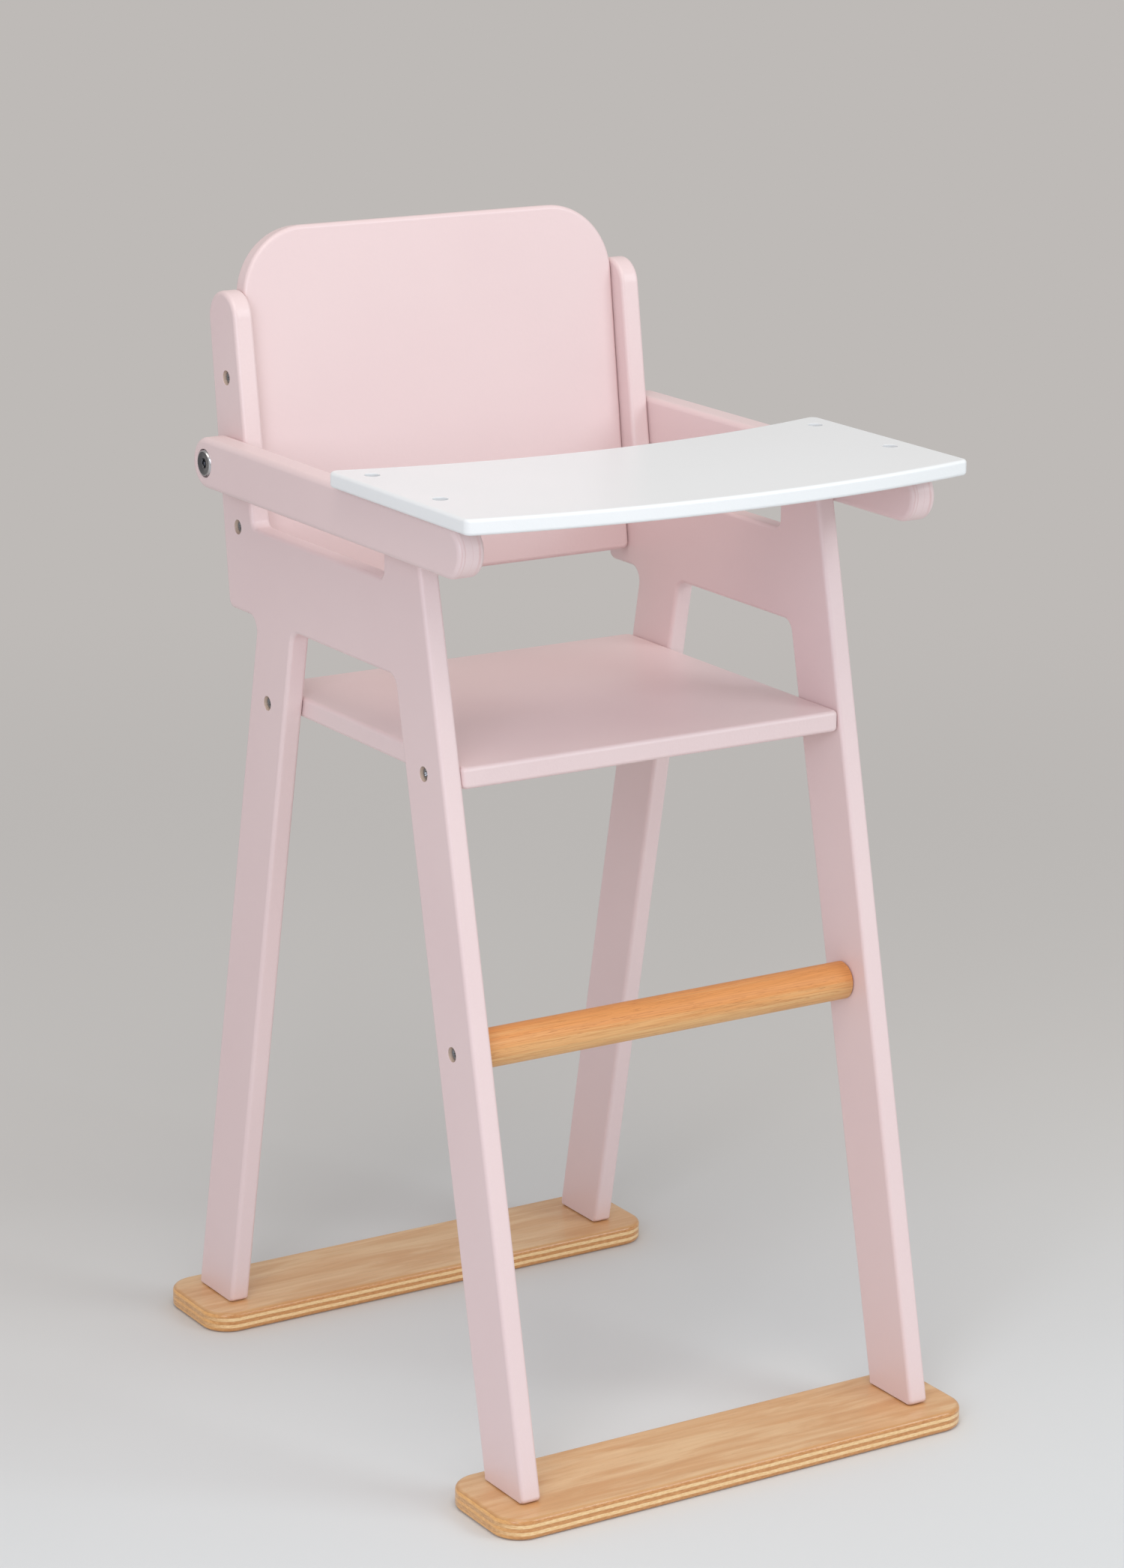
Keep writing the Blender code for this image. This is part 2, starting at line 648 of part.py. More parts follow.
def socket_mesh():
    """Return the six-sided tool that sinks the socket into a bolt's head."""
    bm = bmesh.new()
    across_corners = SOCKET_WIDTH / math.cos(math.pi / 6)
    bmesh.ops.create_cone(bm, cap_ends=True, segments=6, radius1=across_corners / 2,
                          radius2=across_corners / 2, depth=SOCKET_DEPTH + CUT_OVERRUN)
    lift = BOLT_HEAD_THICK - SOCKET_DEPTH + (SOCKET_DEPTH + CUT_OVERRUN) / 2
    bmesh.ops.translate(bm, verts=bm.verts, vec=(0, 0, lift))
    return mesh_from(bm, "socket")


def insert_mesh():
    """Return a threaded insert, a sleeve that reaches down from Z = 0."""
    inner = BOLT_DIAMETER / 2 + FIT_GAP
    outer = INSERT_DIAMETER / 2
    profile = ((inner, 0), (inner, -INSERT_LENGTH), (outer, -INSERT_LENGTH), (outer, 0))
    mesh = turned_mesh("pivot_insert", profile, BORE_FACETS)
    mesh.materials.append(steel("pivot_insert"))
    return mesh


def arm_bore_mesh():
    """Return the tool for an arm's bore and head recess, with its mouth at Z = 0."""
    wide = BOLT_HEAD_DIAMETER / 2 + FIT_GAP
    narrow = BOLT_DIAMETER / 2 + FIT_GAP
    end = -ARM_THICK - CUT_OVERRUN
    profile = (
        (0, end),
        (narrow, end),
        (narrow, -BOLT_HEAD_SINK),
        (wide, -BOLT_HEAD_SINK),
        (wide, CUT_OVERRUN),
        (0, CUT_OVERRUN),
    )
    return turned_mesh("arm_bore", profile, ROUND_FACETS)


def insert_bore_mesh():
    """Return the tool for an insert's blind bore, with its mouth at Z = 0."""
    radius = INSERT_DIAMETER / 2 + FIT_GAP
    end = -INSERT_LENGTH - FIT_GAP
    profile = ((0, end), (radius, end), (radius, CUT_OVERRUN), (0, CUT_OVERRUN))
    return turned_mesh("insert_bore", profile, BORE_FACETS)


def add_pivots(pieces):
    """Add each side's bolt and threaded insert, cut their bores, and return what swings."""
    bolt = bolt_mesh()
    insert = insert_mesh()
    arm_bore = arm_bore_mesh()
    insert_bore = insert_bore_mesh()
    swinging = []
    for hand, side in SIDES.items():
        panel_face = side_place(side, PIVOT_Y, PIVOT_Z)
        arm_face = panel_face @ Matrix.Translation((0, 0, FIT_GAP + ARM_THICK))
        bolt_item = add_object("pivot_bolt_" + hand, bolt)
        bolt_item.matrix_world = arm_face @ Matrix.Translation((0, 0, FIT_GAP - BOLT_HEAD_SINK))
        insert_item = add_object("pivot_insert_" + hand, insert)
        insert_item.matrix_world = panel_face
        arm_cutter = add_cutter("arm_bore_" + hand, arm_bore, arm_face)
        cut(pieces["arm_" + hand], arm_cutter)
        swinging.append(arm_cutter)
        insert_cutter = add_cutter("insert_bore_" + hand, insert_bore, panel_face)
        cut(pieces["side_panel_" + hand], insert_cutter)
    return swinging


def hang_on_pivot(swinging):
    """Parent what swings, with the cutters of its bores, to an empty on the pivots' axis."""
    pivot = bpy.data.objects.new("tray_pivot", None)
    bpy.context.scene.collection.objects.link(pivot)
    pivot.location = (0, PIVOT_Y, PIVOT_Z)
    bpy.context.view_layer.update()
    for item in swinging:
        item.parent = pivot
        item.matrix_parent_inverse = pivot.matrix_world.inverted()


def build():
    """Build the whole chair."""
    clear_scene()
    board_y = (BASE_LENGTH - BOARD_DEPTH) / 2
    pieces = {
        "seat": seat(),
        "backrest": backrest(),
        "footrest_bar": footrest_bar(),
        "foot_board_front": foot_board("foot_board_front", -board_y),
        "foot_board_rear": foot_board("foot_board_rear", board_y),
        "tray": tray(),
    }
    for hand, side in SIDES.items():
        pieces["side_panel_" + hand] = side_panel("side_panel_" + hand, side)
        pieces["arm_" + hand] = arm("arm_" + hand, side)
    screw = screw_mesh()
    bore = screw_bore_mesh()
    add_side_screws(screw, bore, pieces)
    add_foot_screws(screw, bore, pieces)
    swinging = [pieces["tray"], pieces["arm_left"], pieces["arm_right"]]
    swinging += add_tray_screws(screw, bore, pieces)
    swinging += add_pivots(pieces)
    hang_on_pivot(swinging)


build()
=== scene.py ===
"""Doll high chair: the finished look of each piece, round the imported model.

The chair is painted fibreboard on two birch plywood feet, with a round wooden footrest, and
a white tray on two arms that swing up and over the back. Metres, +Z up, the chair faces -Y.
"""

import math

import bmesh
import bpy
from mathutils import Matrix, Vector
from mathutils.geometry import tessellate_polygon


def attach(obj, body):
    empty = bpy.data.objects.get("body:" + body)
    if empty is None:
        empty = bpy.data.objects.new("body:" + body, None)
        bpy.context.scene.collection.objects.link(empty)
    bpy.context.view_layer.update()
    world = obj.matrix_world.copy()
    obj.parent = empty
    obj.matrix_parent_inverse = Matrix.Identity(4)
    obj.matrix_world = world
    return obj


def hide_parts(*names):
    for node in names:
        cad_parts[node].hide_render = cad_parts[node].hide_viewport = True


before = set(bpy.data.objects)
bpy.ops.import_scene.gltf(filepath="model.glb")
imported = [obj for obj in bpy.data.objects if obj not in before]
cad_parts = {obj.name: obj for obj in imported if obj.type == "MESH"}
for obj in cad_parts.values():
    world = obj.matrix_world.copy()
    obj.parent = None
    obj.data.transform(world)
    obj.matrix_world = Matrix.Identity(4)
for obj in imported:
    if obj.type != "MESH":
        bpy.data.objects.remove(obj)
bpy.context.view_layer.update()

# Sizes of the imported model
FIT_GAP = 0.0003
BASE_LENGTH = 0.300
BOARD_LENGTH = 0.228
OVERALL_HEIGHT = 0.487
PANEL_THICK = 0.009
PANEL_EDGE_RADIUS = 0.0019
LEG_WIDTH = 0.0305
FOOT_SETBACK = 0.012
FOOT_INSET = 0.014
PANEL_DEPTH = 0.038
ARCH_RADIUS = 0.006
REAR_STEP = 0.025
STEP_CORNER_RADIUS = 0.004
STEP_HOLLOW_RADIUS = 0.006
RECESS_GAP = 0.0147
RECESS_RADIUS = 0.0035
POST_WIDTH = 0.023
POST_CORNER_RADIUS = 0.0028
UPRIGHT_WIDTH = 0.0265
UPRIGHT_DROP = 0.025
FRONT_LEG_RAKE = math.radians(12.55)
REAR_LEG_RAKE = math.radians(11.05)
BACK_LEAN = math.radians(8.0)
UPRIGHT_TAPER = math.radians(0.9)
SEAT_THICK = 0.009
BACK_HEIGHT = 0.1895
SEAT_CORNER_RADIUS = 0.003
SEAT_EDGE_RADIUS = 0.0019
BACKREST_THICK = 0.009
BACKREST_HEIGHT = 0.152
BACKREST_TOP_RADIUS = 0.030
BACKREST_BOTTOM_RADIUS = 0.003
BACKREST_EDGE_RADIUS = 0.0019
FOOTREST_DIAMETER = 0.016
FOOTREST_DROP = 0.115
FOOTREST_INSET = 0.0175
FOOTREST_CHAMFER = 0.0006
BOARD_DEPTH = 0.051
BOARD_THICK = 0.009
BOARD_CORNER_RADIUS = 0.013
BOARD_EDGE_RADIUS = 0.0019
TRAY_SIDE_OVERHANG = 0.0052
TRAY_SIDE_LENGTH = 0.109
TRAY_FRONT_BOW = 0.0135
TRAY_REAR_BOW = 0.0175
TRAY_THICK = 0.0065
TRAY_DROP = 0.078
TRAY_OVERHANG = 0.014
TRAY_CORNER_RADIUS = 0.0035
TRAY_EDGE_RADIUS = 0.0014
ARM_THICK = 0.012
ARM_DEPTH = 0.0215
ARM_REACH = 0.2095
ARM_EDGE_RADIUS = 0.0025
PIVOT_SETBACK = 0.002
BOLT_DIAMETER = 0.006
BOLT_HEAD_DIAMETER = 0.0115
BOLT_HEAD_THICK = 0.0018
BOLT_HEAD_RADIUS = 0.0009
BOLT_HEAD_SINK = 0.0016
BOLT_CHAMFER = 0.0008
SOCKET_WIDTH = 0.004
SOCKET_DEPTH = 0.0013
SOCKET_RING_DIAMETER = 0.0054
SOCKET_RING_DEPTH = 0.0003
INSERT_DIAMETER = 0.009
INSERT_COVER = 0.0015
SCREW_DIAMETER = 0.003
SCREW_LENGTH = 0.018
SCREW_TIP = 0.004
SCREW_HEAD_DIAMETER = 0.0052
SCREW_HEAD_THICK = 0.0016
SCREW_CROSS_WIDTH = 0.0008
SCREW_CROSS_LENGTH = 0.003
SCREW_CROSS_DEPTH = 0.0010
COUNTERBORE_DIAMETER = 0.0062
COUNTERBORE_DEPTH = 0.0032
BACKREST_SCREW_RISES = (-0.02745, 0.03455)
TRAY_SCREW_INSET = 0.0245
TRAY_SCREW_SPACING = 0.053
FOOT_SCREW_SPACING = 0.014

# Fineness of the meshes
ARC_STEP = math.radians(4.0)
RIM_STEPS = 7
HOLE_STEPS = 48
MOUTH_STEPS = 3
BOW_STEPS = 56
ROD_STEPS = 96
BOLT_STEPS = 72
SCREW_STEPS = 40
SCREW_RIM_STEPS = 5
SHARP_ANGLE = math.radians(32)
MOUTH_RADIUS = 0.0002        # paint rounds the mouth of each hole
LEG_CORNER_RADIUS = 0.0020    # under the legs the edges are crisper
LEG_EDGE_SHARE = 0.25

# Places that follow from the sizes
SIDES = {"left": -1, "right": 1}
HALF_WIDTH = BOARD_LENGTH / 2 - FOOT_INSET
INNER_HALF_WIDTH = HALF_WIDTH - PANEL_THICK
FOOT_HEIGHT = BOARD_THICK + FIT_GAP
FRONT_FOOT_Y = -BASE_LENGTH / 2 + FOOT_SETBACK
REAR_FOOT_Y = BASE_LENGTH / 2 - BOARD_DEPTH + FOOT_SETBACK
TRAY_HEIGHT = OVERALL_HEIGHT - TRAY_DROP
ARM_TOP = TRAY_HEIGHT - TRAY_THICK - FIT_GAP
PIVOT_Z = ARM_TOP - ARM_DEPTH / 2
RECESS_HEIGHT = ARM_TOP - ARM_DEPTH - RECESS_GAP
UNDERSIDE_HEIGHT = RECESS_HEIGHT - PANEL_DEPTH
UPRIGHT_HEIGHT = OVERALL_HEIGHT - UPRIGHT_DROP
SEAT_HEIGHT = OVERALL_HEIGHT - BACK_HEIGHT
SEAT_MIDDLE = SEAT_HEIGHT - SEAT_THICK / 2
FOOTREST_HEIGHT = SEAT_HEIGHT - FOOTREST_DROP
ARM_INNER_X = HALF_WIDTH + FIT_GAP
ARM_OUTER_X = ARM_INNER_X + ARM_THICK
TRAY_HALF_WIDTH = ARM_OUTER_X + TRAY_SIDE_OVERHANG
INSERT_LENGTH = PANEL_THICK - INSERT_COVER
BOLT_LENGTH = ARM_THICK - BOLT_HEAD_SINK + 2 * FIT_GAP + INSERT_LENGTH


def front_leg_front(height):
    """Y of the front leg's front edge at a height."""
    return FRONT_FOOT_Y + math.tan(FRONT_LEG_RAKE) * (height - FOOT_HEIGHT)


def rear_leg_front(height):
    """Y of the rear leg's front edge at a height."""
    return REAR_FOOT_Y - math.tan(REAR_LEG_RAKE) * (height - FOOT_HEIGHT)


def upright_back(height):
    """Y of the upright's back edge, which runs down to the step behind the rear leg."""
    step_y = rear_leg_front(UNDERSIDE_HEIGHT) + LEG_WIDTH + REAR_STEP
    return step_y + math.tan(BACK_LEAN - UPRIGHT_TAPER) * (height - UNDERSIDE_HEIGHT)


def upright_front(height):
    """Y of the upright's front edge, from the bottom of the recess up."""
    foot_y = upright_back(RECESS_HEIGHT) - UPRIGHT_WIDTH
    return foot_y + math.tan(BACK_LEAN + UPRIGHT_TAPER) * (height - RECESS_HEIGHT)


def upright_middle(height):
    """Y of the upright's centre line, which the backrest follows."""
    foot_y = upright_back(RECESS_HEIGHT) - UPRIGHT_WIDTH / 2
    return foot_y + math.tan(BACK_LEAN) * (height - RECESS_HEIGHT)


PIVOT_Y = upright_middle(PIVOT_Z) + PIVOT_SETBACK
ARM_FRONT_Y = PIVOT_Y - ARM_REACH
TRAY_FRONT_Y = ARM_FRONT_Y - TRAY_OVERHANG
TRAY_SCREW_Y = ARM_FRONT_Y + TRAY_SCREW_INSET
FOOTREST_Y = front_leg_front(FOOTREST_HEIGHT) + FOOTREST_INSET
SEAT_FRONT_Y = front_leg_front(SEAT_MIDDLE)
SEAT_BACK_Y = rear_leg_front(SEAT_MIDDLE) + LEG_WIDTH


# Colours and nodes

def linear(code):
    """Turn an sRGB hex colour into a linear RGBA value."""
    parts = [int(code[place:place + 2], 16) / 255 for place in (1, 3, 5)]
    parts = [part / 12.92 if part <= 0.04045 else ((part + 0.055) / 1.055) ** 2.4
             for part in parts]
    return (*parts, 1.0)


def add_node(tree, kind, inputs=None, **settings):
    """Add a node with its settings, set or link its inputs, and return it."""
    node = tree.nodes.new(kind)
    for name, value in settings.items():
        setattr(node, name, value)
    for socket, value in (inputs or {}).items():
        if isinstance(value, bpy.types.NodeSocket):
            tree.links.new(value, node.inputs[socket])
        else:
            node.inputs[socket].default_value = value
    return node


def new_material(name):
    """Return a material, its tree, its shader and its Object coordinates."""
    material = bpy.data.materials.new(name)
    material.use_nodes = True
    tree = material.node_tree
    shader = tree.nodes["Principled BSDF"]
    where = add_node(tree, "ShaderNodeTexCoord").outputs["Object"]
    return material, tree, shader, where


# Painted boards, with the sizes of the paint's and the wood's figure in metres

SPRAY_DRIFT = 0.060
GRIT = 0.0009
ORANGE_PEEL = 0.0022
PAINT_RELIEF = 0.00012
LAYER_SPACING = 0.0034
LAYER_WAVER = 0.012
LAYER_SWAY = 0.0007


def sprayed_paint(name, colour, deeper, roughness, layer_colour=None):
    """Satin lacquer sprayed on fibreboard, or on layered wood where a layer colour is given.

    To the eye: a soft even sheen with a very fine orange peel, a faint drift of tone from the
    spray, cut edges a little rougher and thinner in colour than the faces, and bare tan board
    inside the holes. On layered wood faint lines run across the cut ends.
    """
    material, tree, shader, where = new_material(name)
    side = add_node(tree, "ShaderNodeAttribute", attribute_name="side").outputs["Fac"]
    drift = add_node(tree, "ShaderNodeTexNoise", {
        "Vector": where, "Scale": 1 / SPRAY_DRIFT, "Detail": 2.0, "Roughness": 0.5})
    tone = add_node(tree, "ShaderNodeMix", {
        0: drift.outputs[0], 6: linear(colour), 7: linear(deeper)}, data_type="RGBA")
    grit = add_node(tree, "ShaderNodeTexNoise", {
        "Vector": where, "Scale": 1 / GRIT, "Detail": 2.0, "Roughness": 0.6})
    thin = add_node(tree, "ShaderNodeMath", {0: grit.outputs[0], 1: side}, operation="MULTIPLY")
    thin = add_node(tree, "ShaderNodeMath", {0: thin.outputs[0], 1: 0.10},
                    operation="MULTIPLY")
    edged = add_node(tree, "ShaderNodeMix", {
        0: thin.outputs[0], 6: tone.outputs[2], 7: linear("#FFF6F2")}, data_type="RGBA")
    if layer_colour:
        lines = layer_lines(tree, where, side)
        edged = add_node(tree, "ShaderNodeMix", {
            0: lines, 6: edged.outputs[2], 7: linear(layer_colour)}, data_type="RGBA")
    bare = add_node(tree, "ShaderNodeAttribute", attribute_name="bare").outputs["Fac"]
    coloured = add_node(tree, "ShaderNodeMix", {
        0: bare, 6: edged.outputs[2], 7: linear("#E0C8B6")}, data_type="RGBA")
    tree.links.new(coloured.outputs[2], shader.inputs["Base Color"])
    sheen = add_node(tree, "ShaderNodeMapRange", {
        "Value": drift.outputs[0], "From Min": 0.3, "From Max": 0.7,
        "To Min": roughness - 0.03, "To Max": roughness + 0.04})
    rougher = add_node(tree, "ShaderNodeMath", {0: side, 1: 0.05, 2: sheen.outputs[0]},
                       operation="MULTIPLY_ADD")
    tree.links.new(rougher.outputs[0], shader.inputs["Roughness"])
    peel = add_node(tree, "ShaderNodeTexNoise", {
        "Vector": where, "Scale": 1 / ORANGE_PEEL, "Detail": 1.0, "Roughness": 0.5})
    peel_bump = add_node(tree, "ShaderNodeBump", {
        "Height": peel.outputs[0], "Strength": 0.35, "Distance": PAINT_RELIEF})
    edge_height = add_node(tree, "ShaderNodeMath", {0: grit.outputs[0], 1: side},
                           operation="MULTIPLY")
    edge_bump = add_node(tree, "ShaderNodeBump", {
        "Height": edge_height.outputs[0], "Strength": 0.35, "Distance": PAINT_RELIEF,
        "Normal": peel_bump.outputs[0]})
    tree.links.new(edge_bump.outputs[0], shader.inputs["Normal"])
    shader.inputs["IOR"].default_value = 1.48
    shader.inputs["Coat Weight"].default_value = 0.20
    shader.inputs["Coat Roughness"].default_value = 0.22
    return material


def layer_lines(tree, where, side):
    """Return a mask of a few uneven lines that run across a board's cut ends."""
    depth = add_node(tree, "ShaderNodeAttribute", attribute_name="depth").outputs["Fac"]
    end = add_node(tree, "ShaderNodeAttribute", attribute_name="end").outputs["Fac"]
    waver = add_node(tree, "ShaderNodeTexNoise", {
        "Vector": where, "Scale": 1 / LAYER_WAVER, "Detail": 3.0, "Roughness": 0.6})
    sway = add_node(tree, "ShaderNodeMapRange", {
        "Value": waver.outputs[0], "To Min": -LAYER_SWAY, "To Max": LAYER_SWAY})
    level = add_node(tree, "ShaderNodeMath", {0: depth, 1: sway.outputs[0]}, operation="ADD")
    layer = add_node(tree, "ShaderNodeTexNoise", {
        "W": level.outputs[0], "Scale": 1 / LAYER_SPACING, "Detail": 0.0}, noise_dimensions="1D")
    ramp = add_node(tree, "ShaderNodeMath", {0: layer.outputs[0], 1: 0.5},
                    operation="SUBTRACT")
    off_line = add_node(tree, "ShaderNodeMath", {0: ramp.outputs[0]}, operation="ABSOLUTE")
    line = add_node(tree, "ShaderNodeMapRange", {
        "Value": off_line.outputs[0], "From Min": 0.030, "From Max": 0.0,
        "To Min": 0.0, "To Max": 0.36}, interpolation_type="SMOOTHSTEP")
    on_end = add_node(tree, "ShaderNodeMath", {0: end, 1: side}, operation="MULTIPLY")
    return add_node(tree, "ShaderNodeMath", {0: line.outputs[0], 1: on_end.outputs[0]},
                    operation="MULTIPLY").outputs[0]


# Woods, with sizes of their figure in metres: along the board, across it and through it

INNER_PLY = 0.00155           # five of these lie between two thin face veneers
PLY_WAVER = 0.012
PLY_SAG = 0.00028
PLY_STREAK = (0.045, 0.0021, 0.0021)
PLY_CLOUD = (0.070, 0.010, 0.010)
PLY_FLECK = (0.0045, 0.00035, 0.00035)
CUT_FIBRE = (0.0022, 0.0022, 0.0005)       # about twice as coarse as real, so that it shows
PLY_RELIEF = 0.00010
ROD_BAND = (0.180, 0.0030, 0.0030)
ROD_PATCH = (0.1125, 0.001875, 0.001875)
ROD_FIBRE = (0.025, 0.00040, 0.00040)
ROD_PORE = (0.0060, 0.00020, 0.00020)      # about twice as wide as real, so that it shows
ROD_RELIEF = 0.00006


def grain(tree, where, sizes, settings):
    """Return noise that is stretched to the given sizes."""
    place = add_node(tree, "ShaderNodeMapping", {
        "Vector": where, "Scale": [1 / size for size in sizes]})
    return add_node(tree, "ShaderNodeTexNoise", {
        "Vector": place.outputs[0], "Scale": 1.0, **settings}).outputs[0]


def birch_plywood(name):
    """Clear varnished birch plywood, seven plies, sanded round at its edges.

    To the eye: a warm tan face with fine long grain and tiny dark flecks; on the long edges
    pale plies between brown ones, whose tones come close on the short ends; a satin gloss.
    """
    material, tree, shader, where = new_material(name)
    end = add_node(tree, "ShaderNodeAttribute", attribute_name="end").outputs["Fac"]
    place = add_node(tree, "ShaderNodeSeparateXYZ", {0: where}).outputs
    middle = add_node(tree, "ShaderNodeMath", {0: place["Z"], 1: BOARD_THICK / 2},
                      operation="SUBTRACT")

    # Plies by their height: brown in the middle, then pale, then brown under the face veneer
    waver = add_node(tree, "ShaderNodeTexNoise", {
        "Vector": where, "Scale": 1 / PLY_WAVER, "Detail": 4.0, "Roughness": 0.65})
    sag = add_node(tree, "ShaderNodeMapRange", {
        "Value": waver.outputs[0], "To Min": -PLY_SAG, "To Max": PLY_SAG})
    level = add_node(tree, "ShaderNodeMath", {0: middle.outputs[0], 1: sag.outputs[0]},
                     operation="ADD")
    phase = add_node(tree, "ShaderNodeMath", {0: level.outputs[0], 1: math.pi / INNER_PLY},
                     operation="MULTIPLY")
    wave = add_node(tree, "ShaderNodeMath", {0: phase.outputs[0]}, operation="COSINE")
    cross = add_node(tree, "ShaderNodeMapRange", {
        "Value": wave.outputs[0], "From Min": -0.25, "From Max": 0.25},
        interpolation_type="SMOOTHSTEP")

    streak = grain(tree, where, PLY_STREAK, {"Detail": 4.0, "Roughness": 0.62})
    cloud = grain(tree, where, PLY_CLOUD, {"Detail": 3.0, "Roughness": 0.55,
                                           "Distortion": 1.2})
    clouds = add_node(tree, "ShaderNodeMapRange", {
        "Value": cloud, "From Min": 0.32, "From Max": 0.68},
        interpolation_type="SMOOTHSTEP")
    fleck = grain(tree, where, PLY_FLECK, {"Detail": 2.0, "Roughness": 0.5})
    fleck_share = add_node(tree, "ShaderNodeMapRange", {
        "Value": fleck, "From Min": 0.64, "From Max": 0.74,
        "To Min": 0.0, "To Max": 0.30}, interpolation_type="SMOOTHSTEP")

    face = add_node(tree, "ShaderNodeMix", {
        0: clouds.outputs[0], 6: linear("#E9C08F"), 7: linear("#D9A36C")}, data_type="RGBA")
    streaks = add_node(tree, "ShaderNodeMapRange", {
        "Value": streak, "From Min": 0.35, "From Max": 0.75,
        "To Min": 0.0, "To Max": 0.34})
    face = add_node(tree, "ShaderNodeMix", {
        0: streaks.outputs[0], 6: face.outputs[2], 7: linear("#C08850")}, data_type="RGBA")
    face = add_node(tree, "ShaderNodeMix", {
        0: fleck_share.outputs[0], 6: face.outputs[2], 7: linear("#8F5F38")},
        data_type="RGBA")
    side = add_node(tree, "ShaderNodeAttribute", attribute_name="side").outputs["Fac"]
    rounding = add_node(tree, "ShaderNodeMath", {0: side, 1: 0.85}, operation="MULTIPLY")
    face = add_node(tree, "ShaderNodeMix", {
        0: rounding.outputs[0], 6: face.outputs[2], 7: linear("#B87C3E")}, data_type="RGBA")

    # Cut plies: pale and brown on the long sides, closer in tone on the short ends
    cut = grain(tree, where, CUT_FIBRE, {"Detail": 3.0, "Roughness": 0.65})
    fibres = add_node(tree, "ShaderNodeMapRange", {
        "Value": cut, "From Min": 0.36, "From Max": 0.66})
    pale, brown, end_brown, end_pale = (
        add_node(tree, "ShaderNodeMix", {
            0: fibres.outputs[0], 6: linear(light), 7: linear(dark)}, data_type="RGBA")
        for light, dark in (("#F8D6A3", "#E9BC82"), ("#D69B60", "#BC7D43"),
                            ("#E0AC74", "#C18A52"), ("#EFB974", "#DDA05C")))
    long_side, short_side = (
        add_node(tree, "ShaderNodeMix", {
            0: cross.outputs[0], 6: outer.outputs[2], 7: middle_ply.outputs[2]},
            data_type="RGBA")
        for outer, middle_ply in ((pale, brown), (end_brown, end_pale)))
    edge = add_node(tree, "ShaderNodeMix", {
        0: end, 6: long_side.outputs[2], 7: short_side.outputs[2]}, data_type="RGBA")

    glue_wave = add_node(tree, "ShaderNodeMath", {0: wave.outputs[0]}, operation="ABSOLUTE")
    glue = add_node(tree, "ShaderNodeMapRange", {
        "Value": glue_wave.outputs[0], "From Min": 0.22, "From Max": 0.05,
        "To Min": 0.0, "To Max": 0.30}, interpolation_type="SMOOTHSTEP")
    edge = add_node(tree, "ShaderNodeMix", {
        0: glue.outputs[0], 6: edge.outputs[2], 7: linear("#9A6236")}, data_type="RGBA")

    # The face veneer shows on the face and on the rounding, down to its own lower side
    depth = add_node(tree, "ShaderNodeMath", {0: middle.outputs[0]}, operation="ABSOLUTE")
    inner = add_node(tree, "ShaderNodeMapRange", {
        "Value": depth.outputs[0], "From Min": INNER_PLY * 2.55, "From Max": INNER_PLY * 2.45},
        interpolation_type="SMOOTHSTEP")
    wood = add_node(tree, "ShaderNodeMix", {
        0: inner.outputs[0], 6: face.outputs[2], 7: edge.outputs[2]}, data_type="RGBA")
    tree.links.new(wood.outputs[2], shader.inputs["Base Color"])

    bump_height = add_node(tree, "ShaderNodeMath", {0: streak, 1: fleck_share.outputs[0]},
                           operation="SUBTRACT")
    bump = add_node(tree, "ShaderNodeBump", {
        "Height": bump_height.outputs[0], "Strength": 0.30, "Distance": PLY_RELIEF})
    tree.links.new(bump.outputs[0], shader.inputs["Normal"])
    shader.inputs["Roughness"].default_value = 0.42
    shader.inputs["Coat Weight"].default_value = 0.55
    shader.inputs["Coat Roughness"].default_value = 0.13
    return material


